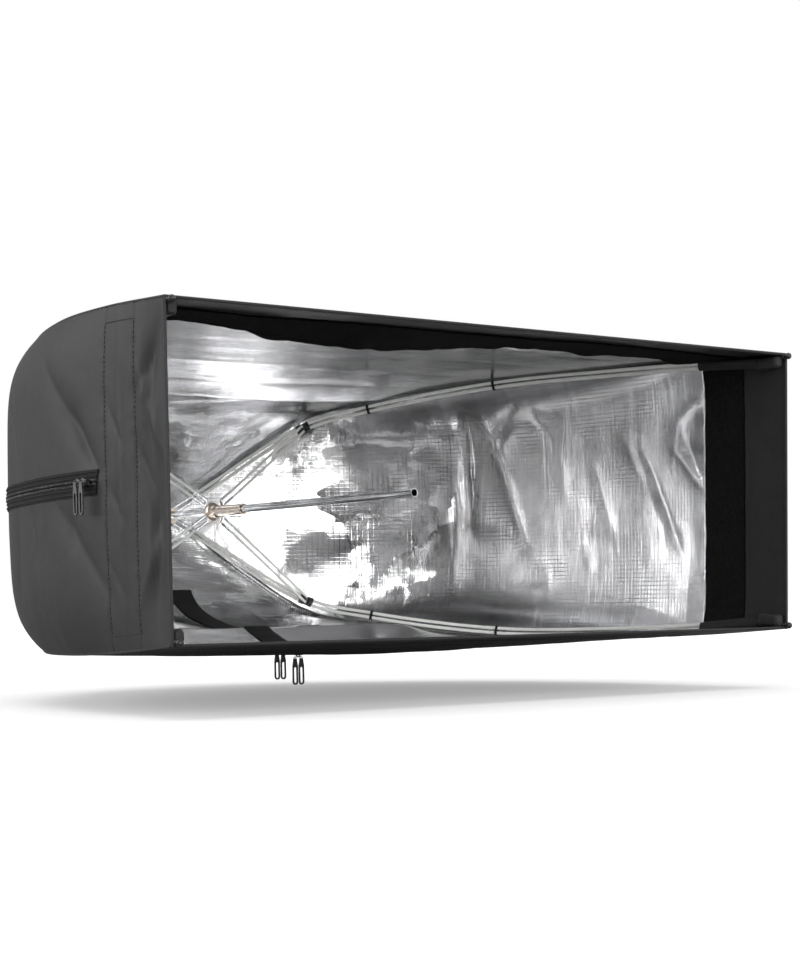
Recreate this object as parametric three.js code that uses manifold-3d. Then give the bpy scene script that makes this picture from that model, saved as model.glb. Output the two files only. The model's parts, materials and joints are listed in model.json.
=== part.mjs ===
// Strip softbox on an umbrella frame. Millimetres, +Z up.
// Origin: centre of the end cap's rear face, on the shaft's line. +X is right when looking into the
// front opening, and +Y runs back along the shaft. Every depth below is measured back from the
// plane of the front opening, and the finished assembly is moved forward to its origin at the end.
import * as THREE from "three";
import { mergeVertices } from "three/addons/utils/BufferGeometryUtils.js";
import Module from "manifold-3d";

const wasm = await Module();
wasm.setup();

// ---- Driving dimensions -------------------------------------------------------------------
const HALF_WIDTH = 330; // front opening, centre to side
const HALF_HEIGHT = 127; // front opening, centre to top
const CLOTH = 1.2; // thickness of the coated cloth
const GAP = 0.4; // clearance between neighbouring pieces
const ZIP_STAND = 1.8; // the zip tapes stand this far off the cloth, to clear its facets
const SEAM_GAP = 8; // the side panels stop this far short of the seams, to clear the gores in the fold
const CENTRE_GAP = 1.5; // the side panels stop this far short of the middle plane

const SHAFT_RADIUS = 4;
const SHAFT_BORE = 3.2;
const SHAFT_FRONT = 139;
const SHAFT_BACK = 600;
const CAP_BACK = 606; // rear face of the end cap

const FOLD_ANGLE = THREE.MathUtils.degToRad(21); // the ribs swing in planes at this angle to the XY plane
const HUB_ANGLE = THREE.MathUtils.degToRad(40); // where the pivots stand round the crown and runner
const CROWN_Y = 575; // rib pivots
const CROWN_PIVOT_RADIUS = 10;
const RUNNER_Y = 481; // stretcher pivots, frame open
const RUNNER_PIVOT_RADIUS = 13;
const RUNNER_FRONT = 423;
const BRACKET_DROP = 5; // the stretcher pivot hangs this far inside the rib

const RIB_ROD_RADIUS = 1.65;
const RIB_ROD_OFFSET = 2.6; // from the middle of the pair to a rod's centre
const STRETCHER_ROD_RADIUS = 1.5;
const STRETCHER_ROD_OFFSET = 3;
const FERRULE_RADIUS = 2.1;
const RIB_FERRULE_LENGTH = 22;
const STRETCHER_FERRULE_LENGTH = 16;

const TAPE_WIDTH = 12; // zip tape, one side
const TAPE = 0.8; // zip tape, thickness
const LOOP_TAPE = 1.5; // loop band, thickness
const PULL_LENGTH = 26;

// Stations from the front opening to the crown, shared by the seam and the three middle lines.
const SEAM = curve([
  [HALF_WIDTH, 0, HALF_HEIGHT],
  [323, 100, 133],
  [309, 205, 136],
  [266, 340, 135],
  [194, 452, 123],
  [143, 523, 107],
  [12, 584, 7],
]);
const TOP_LINE = curve([
  [0, 0, HALF_HEIGHT],
  [0, 100, 134],
  [0, 205, 137],
  [0, 340, 134],
  [0, 452, 115],
  [0, 520, 94],
  [0, 584, 14],
]);
const BOTTOM_LINE = curve([
  [0, 0, -HALF_HEIGHT],
  [0, 100, -136],
  [0, 205, -142],
  [0, 340, -143],
  [0, 455, -124],
  [0, 550, -92],
  [0, 589, -14],
]);
const SIDE_LINE = curve([
  [HALF_WIDTH, 0, 0],
  [328, 100, 0],
  [320, 205, 0],
  [284, 345, 0],
  [218, 452, 0],
  [130, 535, 0],
  [14, 586, 0],
]);
const BAND_START = 1 / 12; // share of the way to the crown where the loop band begins
const BAND_END = 1 / 6;
const SIDE_ZIP_START = 0.19;
const BOTTOM_ZIP_START = 0.475;
const ZIP_END = 0.86;

// ---- Materials ----------------------------------------------------------------------------
const nylon = material(0x47484a, 0.8, 0);
const loopTape = material(0x0d0d0e, 1, 0);
const zipTape = material(0x161617, 0.9, 0);
const blackMetal = material(0x1b1b1d, 0.35, 0.8);
const chrome = material(0xd5d6d8, 0.15, 1);
const champagne = material(0xc2b29a, 0.28, 1);
const fibreglass = material(0xd6dcd2, 0.35, 0);
const blackPlastic = material(0x1d1d1e, 0.5, 0);

function material(color, roughness, metalness) {
  return new THREE.MeshStandardMaterial({ color, roughness, metalness });
}

// ---- Geometry helpers ---------------------------------------------------------------------
function vector(x, y, z) {
  return new THREE.Vector3(x, y, z);
}

function curve(points) {
  return new THREE.CatmullRomCurve3(points.map(([x, y, z]) => new THREE.Vector3(x, y, z)));
}

function toSolid(geometry) {
  const bare = geometry.index ? geometry.toNonIndexed() : geometry.clone();
  bare.deleteAttribute("normal");
  bare.deleteAttribute("uv");
  const merged = mergeVertices(bare, 1e-4);
  return new wasm.Manifold(
    new wasm.Mesh({
      numProp: 3,
      vertProperties: merged.attributes.position.array,
      triVerts: new Uint32Array(merged.index.array),
    }),
  );
}

function toGeometry(solid) {
  const mesh = solid.getMesh();
  const positions = new Float32Array(mesh.numVert * 3);
  for (let i = 0; i < mesh.numVert; i++) {
    positions.set(mesh.vertProperties.subarray(i * mesh.numProp, i * mesh.numProp + 3), i * 3);
  }
  const geometry = new THREE.BufferGeometry();
  geometry.setAttribute("position", new THREE.BufferAttribute(positions, 3));
  geometry.setIndex(new THREE.BufferAttribute(mesh.triVerts, 1));
  const faceted = geometry.toNonIndexed();
  faceted.computeVertexNormals();
  return faceted;
}

function join(first, ...others) {
  return toGeometry(others.reduce((sum, next) => sum.add(toSolid(next)), toSolid(first)));
}

function cut(body, ...tools) {
  return toGeometry(tools.reduce((rest, tool) => rest.subtract(toSolid(tool)), toSolid(body)));
}

// A cylinder from one point to another.
function bar(from, to, radius, sides = 10) {
  const axis = to.clone().sub(from);
  const geometry = new THREE.CylinderGeometry(radius, radius, axis.length(), sides);
  const turn = new THREE.Quaternion().setFromUnitVectors(vector(0, 1, 0), axis.clone().normalize());
  geometry.applyQuaternion(turn);
  geometry.translate(...from.clone().add(to).multiplyScalar(0.5).toArray());
  return geometry;
}

// A box with its size given along three perpendicular directions.
function block(centre, directions, size) {
  const geometry = new THREE.BoxGeometry(...size);
  const placed = new THREE.Matrix4().makeBasis(...directions).setPosition(centre);
  return geometry.applyMatrix4(placed);
}

// A body turned about the shaft's line. The profile is a list of [radius, y].
function turned(profile, segments = 16) {
  return new THREE.LatheGeometry(
    profile.map(([radius, y]) => new THREE.Vector2(radius, y)),
    segments,
  );
}

// A ring turned about the shaft's line: its profile closes on itself.
function turnedRing(profile, segments = 16) {
  return turned([...profile, profile[0]], segments);
}

// A smooth path whose steps fall on its own points, however far apart they are.
class StationPath extends THREE.CatmullRomCurve3 {
  getPointAt(share, target) {
    return this.getPoint(share, target);
  }

  getTangentAt(share, target) {
    return this.getTangent(share, target);
  }
}

// A rod that follows a curve. Its section has twice as many sides as halfSides.
function rod(path, radius, steps, halfSides) {
  const section = new THREE.Shape().absarc(0, 0, radius, 0, 2 * Math.PI);
  return new THREE.ExtrudeGeometry(section, {
    steps,
    curveSegments: halfSides,
    bevelEnabled: false,
    extrudePath: path,
  });
}

// A closed sheet of cloth. pointAt(u, v) is the outer face before it is moved inwards by inset.
function sheet(pointAt, { u, v, columns, rows, thickness, inset = 0 }) {
  const inside = vector(0, 200, 0);
  const step = 1e-3;
  const outer = [];
  const inner = [];
  for (let j = 0; j <= rows; j++) {
    for (let i = 0; i <= columns; i++) {
      const a = THREE.MathUtils.lerp(u[0], u[1], i / columns);
      const b = THREE.MathUtils.lerp(v[0], v[1], j / rows);
      const here = pointAt(a, b);
      const along = pointAt(a + step, b).sub(pointAt(a - step, b));
      const up = pointAt(a, Math.min(b + step, 1)).sub(pointAt(a, Math.max(b - step, 0)));
      const normal = along.cross(up).normalize();
      if (normal.dot(here.clone().sub(inside)) < 0) normal.negate();
      outer.push(here.clone().addScaledVector(normal, -inset));
      inner.push(here.clone().addScaledVector(normal, -inset - thickness));
    }
  }
  const width = columns + 1;
  const count = outer.length;
  const faces = [];
  const quad = (a, b, c, d) => faces.push(a, b, c, a, c, d);
  for (let j = 0; j < rows; j++) {
    for (let i = 0; i < columns; i++) {
      const k = j * width + i;
      quad(k, k + 1, k + 1 + width, k + width);
      quad(count + k, count + k + width, count + k + 1 + width, count + k + 1);
    }
  }
  for (let i = 0; i < columns; i++) {
    const top = rows * width + i;
    quad(i + 1, i, count + i, count + i + 1);
    quad(top, top + 1, count + top + 1, count + top);
  }
  for (let j = 0; j < rows; j++) {
    const left = j * width;
    const right = left + columns;
    quad(left, left + width, count + left + width, count + left);
    quad(right + width, right, count + right, count + right + width);
  }
  return closedMesh([...outer, ...inner], faces);
}

// A mesh from points and triangles, turned inside out if its faces point inwards.
function closedMesh(points, faces) {
  let volume = 0;
  for (let k = 0; k < faces.length; k += 3) {
    const [a, b, c] = [points[faces[k]], points[faces[k + 1]], points[faces[k + 2]]];
    volume += a.dot(b.clone().cross(c));
  }
  const ordered = volume < 0 ? faces.slice().reverse() : faces;
  const geometry = new THREE.BufferGeometry().setFromPoints(points);
  geometry.setIndex(ordered);
  const faceted = geometry.toNonIndexed();
  faceted.computeVertexNormals();
  return faceted;
}

function addMesh(parent, name, geometry, finish) {
  const mesh = new THREE.Mesh(geometry, finish);
  mesh.name = name;
  parent.add(mesh);
  return mesh;
}

// ---- Canopy -------------------------------------------------------------------------------
// A point of a top or bottom gore: u runs from the left seam (-1) to the right seam (1).
function goreAt(middleLine, side) {
  return (u, v) => {
    const edge = SEAM.getPoint(v);
    const middle = middleLine.getPoint(v);
    edge.z *= side;
    const point = middle.clone().lerp(edge, u * u);
    point.x = edge.x * u;
    return point;
  };
}

// A point of the right upper side panel: u runs from the middle plane (0) to the seam (1).
function sideAt(u, v) {
  const edge = SEAM.getPoint(v);
  const middle = SIDE_LINE.getPoint(v);
  const point = middle.clone().lerp(edge, u * u);
  point.z = THREE.MathUtils.lerp(CENTRE_GAP, edge.z - SEAM_GAP, u);
  return point;
}

// A point of a zip tape beside the middle plane of a side panel, z millimetres above it.
function sideTapeAt(z, v) {
  const share = z / (SEAM.getPoint(v).z - SEAM_GAP);
  const point = sideAt(share, v);
  point.z = z;
  return point;
}

// A point of the bottom zip tape, x millimetres from the middle line.
function bottomTapeAt(x, v) {
  return goreAt(BOTTOM_LINE, -1)(x / SEAM.getPoint(v).x, v);
}

function addCanopy(root) {
  const whole = { u: [-1, 1], v: [0, 1], columns: 10, rows: 14, thickness: CLOTH };
  const band = {
    u: [-0.93, 0.93],
    v: [BAND_START, BAND_END],
    columns: 8,
    rows: 1,
    thickness: LOOP_TAPE,
    inset: CLOTH + GAP,
  };
  const top = goreAt(TOP_LINE, 1);
  const bottom = goreAt(BOTTOM_LINE, -1);
  addMesh(root, "top_panel", sheet(top, whole), nylon);
  addMesh(root, "bottom_panel", sheet(bottom, whole), nylon);
  addMesh(root, "top_loop_band", sheet(top, band), loopTape);
  addMesh(root, "bottom_loop_band", sheet(bottom, band), loopTape);
  const bottomTape = {
    u: [-TAPE_WIDTH, TAPE_WIDTH],
    v: [BOTTOM_ZIP_START, ZIP_END],
    columns: 2,
    rows: 8,
    thickness: TAPE,
    inset: -ZIP_STAND - TAPE,
  };
  addMesh(root, "bottom_zip_tape", sheet(bottomTapeAt, bottomTape), zipTape);
}

// ---- Shaft, crown and runner --------------------------------------------------------------
const SPOOL_HALF = 8; // half the length of the crown's spool
const FLANGE = 2.5; // thickness of a spool flange

function addShaft(root) {
  const tube = turnedRing([
    [SHAFT_BORE, SHAFT_FRONT],
    [SHAFT_RADIUS, SHAFT_FRONT],
    [SHAFT_RADIUS, SHAFT_BACK],
    [SHAFT_BORE, SHAFT_BACK],
  ]);
  addMesh(root, "shaft", tube, chrome);
  const bore = SHAFT_RADIUS + GAP;
  const front = CROWN_Y - SPOOL_HALF;
  const back = CROWN_Y + SPOOL_HALF;
  const waist = 6.4;
  const crown = turnedRing([
    [bore, front],
    [8.5, front],
    [8.5, front + FLANGE],
    [waist, front + FLANGE],
    [waist, back - FLANGE],
    [11, back - FLANGE],
    [11, back],
    [bore, back],
  ]);
  addMesh(root, "crown", notched(crown, back, 11), champagne);
  const washerFront = 592.5;
  const washer = turnedRing([
    [bore, washerFront],
    [20, washerFront],
    [20, washerFront + 1.5],
    [17, washerFront + 2.5],
    [bore, washerFront + 2.5],
  ]);
  addMesh(root, "back_washer", washer, blackPlastic);
  const capFront = washerFront + 2.5 + GAP;
  const cap = turned([
    [0, SHAFT_BACK + GAP],
    [bore, SHAFT_BACK + GAP],
    [bore, capFront],
    [7.5, capFront],
    [7.5, CAP_BACK - 2],
    [6, CAP_BACK],
    [0, CAP_BACK],
  ]);
  addMesh(root, "end_cap", cap, blackPlastic);
}

// Cuts eight small notches into the rim of a flange.
function notched(body, y, rim) {
  const notches = [];
  for (let k = 0; k < 8; k++) {
    const angle = (k * Math.PI) / 4 + Math.PI / 8;
    const out = vector(Math.cos(angle), 0, Math.sin(angle));
    const sideways = vector(-Math.sin(angle), 0, Math.cos(angle));
    const centre = out.clone().multiplyScalar(rim).setY(y);
    notches.push(block(centre, [out, vector(0, 1, 0), sideways], [3, 12, 1.6]));
  }
  return cut(body, ...notches);
}

function addRunner(root) {
  const bore = SHAFT_RADIUS + GAP;
  const sleeve = 5.4;
  const shoulder = 6.8;
  const shoulderFront = RUNNER_Y - 8;
  const rim = 9.5;
  const rimFront = RUNNER_Y + 1.5;
  const rimBack = RUNNER_Y + 5.5;
  const profile = [
    [bore, RUNNER_FRONT],
    [sleeve + 0.6, RUNNER_FRONT],
    [sleeve + 0.6, RUNNER_FRONT + 3],
    [sleeve, RUNNER_FRONT + 3.5],
    [sleeve, shoulderFront - 1],
    [shoulder, shoulderFront],
    [shoulder, rimFront],
    [rim, rimFront],
    [rim, rimBack],
    [bore, rimBack],
  ];
  addMesh(root, "runner", notched(turnedRing(profile), rimBack, rim), champagne);
  const catchBack = RUNNER_FRONT + 25;
  const catchFront = RUNNER_FRONT + 5;
  const lift = sleeve + 1.7; // the catch stands clear of the sleeve, so that it can be pressed
  const axes = [vector(1, 0, 0), vector(0, 1, 0), vector(0, 0, 1)];
  const blade = block(
    vector(0, (catchFront + catchBack) / 2, -lift),
    axes,
    [4.4, catchBack - catchFront, 0.9],
  );
  const foot = block(vector(0, catchBack - 1.5, -sleeve - 1.2), axes, [4.4, 3, 1.5]);
  addMesh(root, "runner_catch", join(blade, foot), blackMetal);
}

// ---- One quarter of the frame: the top right one, mirrored for the others ------------------
const radial = vector(Math.cos(FOLD_ANGLE), 0, Math.sin(FOLD_ANGLE)); // in the fold plane
const across = vector(-Math.sin(FOLD_ANGLE), 0, Math.cos(FOLD_ANGLE)); // the pivots' direction
const ribPivot = hubPoint(CROWN_PIVOT_RADIUS, CROWN_Y);
const runnerPivot = hubPoint(RUNNER_PIVOT_RADIUS, RUNNER_Y);
const ribBend = vector(132, 510, 93); // where the stretcher pushes and the rib bends
const ribTip = vector(321.5, 5, 118.5);
const ribStart = ribPivot
  .clone()
  .addScaledVector(ribBend.clone().sub(ribPivot).normalize(), RIB_FERRULE_LENGTH + GAP);
const ribLine = new THREE.CatmullRomCurve3([
  ribStart,
  ribBend,
  vector(176, 450, 110),
  vector(255, 335, 128),
  vector(299, 205, 129),
  vector(316, 100, 125.5),
  ribTip,
]);
const bendTangent = ribLine.getTangent(1 / 6);
const bendInward = bendTangent.clone().cross(across).normalize();
const stretcherPivot = ribBend.clone().addScaledVector(bendInward, BRACKET_DROP);

function hubPoint(radius, y) {
  return vector(radius * Math.cos(HUB_ANGLE), y, radius * Math.sin(HUB_ANGLE));
}

// The direction from one rod of a pair to the other, where the pair runs along tangent.
function pairDirection(tangent) {
  return across.clone().addScaledVector(tangent, -across.dot(tangent)).normalize();
}

// The two rods of a rib, as curves beside the rib's middle line.
function ribRods(radius) {
  const steps = 18; // a multiple of the middle line's six stretches, so that one falls on the bend
  return [-1, 1].map((side) => {
    const points = [];
    for (let k = 0; k <= steps; k++) {
      const shift = pairDirection(ribLine.getTangent(k / steps)).multiplyScalar(side * RIB_ROD_OFFSET);
      points.push(ribLine.getPoint(k / steps).add(shift));
    }
    return rod(new StationPath(points), radius, steps, 3);
  });
}

// Two short tubes side by side, joined by an eye across them at the pivot.
function ferrule(pivot, towards, length, offset) {
  const direction = towards.clone().sub(pivot).normalize();
  const pair = pairDirection(direction);
  const end = pivot.clone().addScaledVector(direction, length);
  const tubes = [-1, 1].map((side) => {
    const shift = pair.clone().multiplyScalar(side * offset);
    return bar(pivot.clone().add(shift), end.clone().add(shift), FERRULE_RADIUS, 8);
  });
  const half = across.clone().multiplyScalar(offset + 1.6);
  const eye = bar(pivot.clone().sub(half), pivot.clone().add(half), 1.8, 8);
  return join(eye, ...tubes);
}

function bracket() {
  const pair = pairDirection(bendTangent);
  const width = 2 * (RIB_ROD_OFFSET + RIB_ROD_RADIUS) + 2;
  const directions = [bendTangent, pair, bendTangent.clone().cross(pair)];
  const clamp = block(ribBend, directions, [15, width, 2 * RIB_ROD_RADIUS + 2.4]);
  const hollow = cut(clamp, ...ribRods(RIB_ROD_RADIUS + GAP));
  const plate = across.clone().multiplyScalar(0.6);
  const lug = bar(stretcherPivot.clone().sub(plate), stretcherPivot.clone().add(plate), 2.3, 10);
  const neckCentre = stretcherPivot.clone().addScaledVector(bendInward, -1.4);
  const neckSide = across.clone().cross(bendInward);
  const neck = block(neckCentre, [neckSide, across, bendInward], [3.6, 1.2, 2.8]);
  const ends = across.clone().multiplyScalar(3);
  const hole = bar(stretcherPivot.clone().sub(ends), stretcherPivot.clone().add(ends), 1.35, 8);
  return cut(join(hollow, lug, neck), hole);
}

function stretcherRods() {
  const direction = runnerPivot.clone().sub(stretcherPivot).normalize();
  const pair = pairDirection(direction);
  const end = runnerPivot.clone().addScaledVector(direction, -STRETCHER_FERRULE_LENGTH - GAP);
  const rods = [-1, 1].map((side) => {
    const shift = pair.clone().multiplyScalar(side * STRETCHER_ROD_OFFSET);
    return bar(stretcherPivot.clone().add(shift), end.clone().add(shift), STRETCHER_ROD_RADIUS, 8);
  });
  const half = across.clone().multiplyScalar(STRETCHER_ROD_OFFSET + 1);
  const pin = bar(stretcherPivot.clone().sub(half), stretcherPivot.clone().add(half), 0.95, 8);
  return join(pin, ...rods);
}

const POCKET = { centre: vector(320.9, 13.2, 119), size: [10.8, 23.4, 12.4] };
const POCKET_MOUTH = { centre: vector(320.7, 15.5, 119.1), size: [8, 24, 10.5] };

function cornerPocket() {
  const axes = [vector(1, 0, 0), vector(0, 1, 0), vector(0, 0, 1)];
  const sleeve = block(POCKET.centre, axes, POCKET.size);
  const mouth = block(POCKET_MOUTH.centre, axes, POCKET_MOUTH.size);
  return cut(sleeve, mouth);
}

function ribTipPiece() {
  const front = POCKET.centre.y - POCKET.size[1] / 2 - GAP;
  const ball = 3;
  const profile = [[0, front - 9.2]];
  for (let k = 1; k < 5; k++) {
    const angle = (k * Math.PI) / 6;
    profile.push([ball * Math.sin(angle), front - 6.2 - ball * Math.cos(angle)]);
  }
  profile.push([1.5, front - 3.4], [1.5, front], [0, front]);
  return turned(profile, 8).translate(323, 0, 121.5);
}

const quarterPieces = {
  rib_ferrule: [ferrule(ribPivot, ribBend, RIB_FERRULE_LENGTH, RIB_ROD_OFFSET), chrome],
  rib_rods: [ribPair(), fibreglass],
  rib_bracket: [bracket(), blackMetal],
  rib_tip: [ribTipPiece(), chrome],
  corner_pocket: [cornerPocket(), nylon],
  stretcher_rods: [stretcherRods(), fibreglass],
  stretcher_ferrule: [
    ferrule(runnerPivot, stretcherPivot, STRETCHER_FERRULE_LENGTH, STRETCHER_ROD_OFFSET),
    chrome,
  ],
  side_panel: [
    sheet(sideAt, { u: [0, 1], v: [0, 0.985], columns: 4, rows: 14, thickness: CLOTH }),
    nylon,
  ],
  side_loop_band: [
    sheet(sideAt, {
      u: [0, 0.84],
      v: [BAND_START, BAND_END],
      columns: 4,
      rows: 1,
      thickness: LOOP_TAPE,
      inset: CLOTH + GAP,
    }),
    loopTape,
  ],
};

// Two rods, joined by a short bridge where the corner pocket hides it.
function ribPair() {
  const [lower, upper] = ribRods(RIB_ROD_RADIUS);
  const pair = pairDirection(vector(0, -1, 0));
  const half = pair.multiplyScalar(RIB_ROD_OFFSET);
  const middle = ribTip.clone().add(vector(0, 3, 0));
  const bridge = bar(middle.clone().sub(half), middle.clone().add(half), 1, 8);
  return join(lower, upper, bridge);
}

function addQuarter(root, suffix, mirrorX, mirrorZ) {
  const quarter = new THREE.Group();
  quarter.scale.set(mirrorX, 1, mirrorZ);
  for (const [name, [geometry, finish]] of Object.entries(quarterPieces)) {
    addMesh(quarter, `${name}_${suffix}`, geometry, finish);
  }
  root.add(quarter);
}

// ---- Zips ---------------------------------------------------------------------------------
const SLIDER = { length: 8.6, width: 8, height: 3 };

// A slider lying on the XY plane, pointing along Y, with a bail standing on it.
function slider() {
  const outline = new THREE.Shape();
  const half = SLIDER.width / 2;
  const nose = SLIDER.length / 2;
  outline.moveTo(-half * 0.55, -nose);
  outline.lineTo(half * 0.55, -nose);
  outline.quadraticCurveTo(half * 0.8, 0, half, nose * 0.5);
  outline.quadraticCurveTo(half, nose, half * 0.3, nose);
  outline.lineTo(-half * 0.3, nose);
  outline.quadraticCurveTo(-half, nose, -half, nose * 0.5);
  outline.quadraticCurveTo(-half * 0.8, 0, -half * 0.55, -nose);
  const body = new THREE.ExtrudeGeometry(outline, {
    depth: SLIDER.height,
    bevelEnabled: false,
    curveSegments: 4,
  });
  const bail = new THREE.BoxGeometry(1.4, 6, 1.6).translate(0, 0, SLIDER.height + 0.6);
  return join(body, bail);
}

// A flat pull with a long slot, hanging down from the origin in the XZ plane.
function pull() {
  const half = 3.1;
  const outline = new THREE.Shape();
  outline.moveTo(-half * 0.6, -0.2);
  outline.lineTo(-half, -7);
  outline.lineTo(-half, -PULL_LENGTH + half);
  outline.absarc(0, -PULL_LENGTH + half, half, Math.PI, 2 * Math.PI, false);
  outline.lineTo(half, -7);
  outline.lineTo(half * 0.6, -0.2);
  outline.closePath();
  const slot = new THREE.Path();
  const slotHalf = 1.5;
  slot.moveTo(-slotHalf, -9);
  slot.lineTo(-slotHalf, -PULL_LENGTH + half);
  slot.absarc(0, -PULL_LENGTH + half, slotHalf, Math.PI, 2 * Math.PI, false);
  slot.lineTo(slotHalf, -9);
  slot.closePath();
  outline.holes.push(slot);
  const plate = new THREE.ExtrudeGeometry(outline, {
    depth: 1.2,
    bevelEnabled: false,
    curveSegments: 6,
  });
  return plate.rotateX(Math.PI / 2).translate(0, 0.6, 0);
}

function addBottomZip(root) {
  for (const [name, y, tilt] of [
    ["front", 330, 0],
    ["rear", 362, 0.15],
  ]) {
    const share = shareAt(BOTTOM_LINE, y);
    const group = new THREE.Group();
    const drop = ZIP_STAND + TAPE + 2 * GAP;
    group.position.set(0, y, BOTTOM_LINE.getPoint(share).z - drop);
    const tilted = new THREE.Group();
    tilted.rotation.x = tilt;
    const body = addMesh(tilted, `bottom_zip_${name}_slider`, slider(), blackMetal);
    body.rotation.x = Math.PI;
    group.add(tilted);
    for (const [side, x] of [
      ["left", -3.6],
      ["right", 3.6],
    ]) {
      const tab = addMesh(group, `bottom_zip_${name}_pull_${side}`, pull(), blackMetal);
      tab.position.set(x, 0, -SLIDER.height - 2.4);
    }
    root.add(group);
  }
}

function addSideZip(root) {
  const tape = {
    u: [CENTRE_GAP, TAPE_WIDTH],
    v: [SIDE_ZIP_START, ZIP_END],
    columns: 1,
    rows: 9,
    thickness: TAPE,
    inset: -ZIP_STAND - TAPE,
  };
  for (const [side, mirrorZ] of [
    ["upper", 1],
    ["lower", -1],
  ]) {
    const group = new THREE.Group();
    group.scale.set(-1, 1, mirrorZ);
    addMesh(group, `side_zip_tape_${side}`, sheet(sideTapeAt, tape), zipTape);
    root.add(group);
  }
  const slope = 0.07; // how far the side wall closes in for each millimetre back
  for (const [name, y] of [
    ["front", 124],
    ["rear", 133.4],
  ]) {
    const group = new THREE.Group();
    const stand = ZIP_STAND + TAPE + 2 * GAP;
    const wall = SIDE_LINE.getPoint(shareAt(SIDE_LINE, y)).x + stand;
    group.position.set(-wall, y, 0);
    group.rotation.z = -slope;
    const body = addMesh(group, `side_zip_${name}_slider`, slider(), blackMetal);
    body.rotation.y = -Math.PI / 2;
    const tab = addMesh(group, `side_zip_${name}_pull`, pull(), blackMetal);
    tab.rotation.z = Math.PI / 2;
    tab.position.set(-SLIDER.height - 2.2, 0, 1);
    root.add(group);
  }
}

// The share of the way along a middle line at which it has reached the given y.
function shareAt(line, y) {
  let low = 0;
  let high = 1;
  for (let k = 0; k < 40; k++) {
    const middle = (low + high) / 2;
    if (line.getPoint(middle).y < y) low = middle;
    else high = middle;
  }
  return low;
}

// ---- Assembly -----------------------------------------------------------------------------
const softbox = new THREE.Group();
softbox.position.y = -CAP_BACK;
addCanopy(softbox);
addShaft(softbox);
addRunner(softbox);
addQuarter(softbox, "top_right", 1, 1);
addQuarter(softbox, "top_left", -1, 1);
addQuarter(softbox, "bottom_right", 1, -1);
addQuarter(softbox, "bottom_left", -1, -1);
addBottomZip(softbox);
addSideZip(softbox);

// The exported group's own place would be ignored, so the moved assembly sits inside it.
const assembly = new THREE.Group();
assembly.add(softbox);

export default assembly;
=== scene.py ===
"""The looks of a strip softbox on an umbrella frame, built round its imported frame.

The frame is in metres, +Z up, with its origin at the rear of the end cap. +X is right when
looking into the opening, and +Y runs back along the shaft. Shapes here are in millimetres, with
depths measured back from the front opening, until in_frame() moves them into the frame.
"""

import json
import math

import bmesh
import bpy
import numpy as np
from mathutils import Euler, Matrix, Vector, noise


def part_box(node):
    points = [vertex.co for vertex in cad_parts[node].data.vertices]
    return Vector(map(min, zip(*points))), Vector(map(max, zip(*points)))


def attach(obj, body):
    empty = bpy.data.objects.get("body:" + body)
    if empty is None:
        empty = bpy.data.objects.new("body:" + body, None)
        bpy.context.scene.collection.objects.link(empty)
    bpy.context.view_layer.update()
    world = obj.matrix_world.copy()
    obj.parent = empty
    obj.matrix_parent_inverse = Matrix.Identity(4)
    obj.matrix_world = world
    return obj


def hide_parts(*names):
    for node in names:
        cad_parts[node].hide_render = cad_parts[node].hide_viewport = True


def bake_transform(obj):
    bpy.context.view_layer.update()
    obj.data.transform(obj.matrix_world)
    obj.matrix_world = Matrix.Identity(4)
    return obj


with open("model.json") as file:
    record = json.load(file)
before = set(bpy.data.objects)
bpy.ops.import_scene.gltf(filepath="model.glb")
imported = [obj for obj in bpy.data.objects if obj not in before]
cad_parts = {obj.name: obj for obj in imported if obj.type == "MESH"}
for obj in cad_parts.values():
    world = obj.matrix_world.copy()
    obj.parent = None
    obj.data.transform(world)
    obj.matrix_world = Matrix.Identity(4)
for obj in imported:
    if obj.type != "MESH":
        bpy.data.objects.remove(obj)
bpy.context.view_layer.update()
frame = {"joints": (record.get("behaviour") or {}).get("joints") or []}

MM = 0.001
# Mirrors in x and z: the shapes of the frame are made for the top right.
QUARTERS = {
    "top_right": (1, 1), "top_left": (-1, 1), "bottom_right": (1, -1), "bottom_left": (-1, -1)
}
X_AXIS, Z_AXIS = np.array([1.0, 0, 0]), np.array([0, 0, 1.0])

# ---- Driving dimensions, in millimetres ------------------------------------------------------
HALF_WIDTH, HALF_HEIGHT = 330, 127  # of the front opening
CLOTH = 0.7  # thickness of the coated nylon
HEM_RADIUS = 1.3
STITCH_DEPTHS = (50, 100)  # the two rows of stitches that hold the loop band
STITCH = 3.6  # length of one stitch
OVERLOCK = 2.7  # length of one stitch of the corner seams
ROW_STEP = 4.5  # spacing of the cloth's mesh
CAP_BACK = 606  # depth of the end cap's rear face, where the frame has its origin
RIB_ROD_RADIUS, RIB_ROD_OFFSET, RIB_FERRULE = 1.65, 2.6, 22
STRETCHER_ROD_RADIUS, STRETCHER_ROD_OFFSET, STRETCHER_FERRULE = 1.5, 3.0, 16
RUNNER_RING, RUNNER_DEPTH, RUNNER_ANGLE = 13, 481, math.radians(40)  # a stretcher's pivot
ZIP_TAPE = 10  # width of one tape
ZIP_LINING = 14
ZIP_STARTS = {"side": 0.19, "bottom": 0.475}  # shares of the way along the seam
ZIP_END = 0.86
COIL_PITCH = 1.7
FLOOR_HEIGHT, FLOOR_RADIUS = -0.182, 9.0  # in metres


def in_frame(points):
    """Points in millimetres, with depths from the front opening, as metres in the frame."""
    return (np.asarray(points, float) - (0, CAP_BACK, 0)) * MM


def from_frame(point):
    """The other way round, for places that the frame gives."""
    return np.array(point, float) / MM + (0, CAP_BACK, 0)


def node_box(node):
    low, high = (from_frame(corner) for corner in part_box(node))
    return low, high, (low + high) / 2


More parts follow.
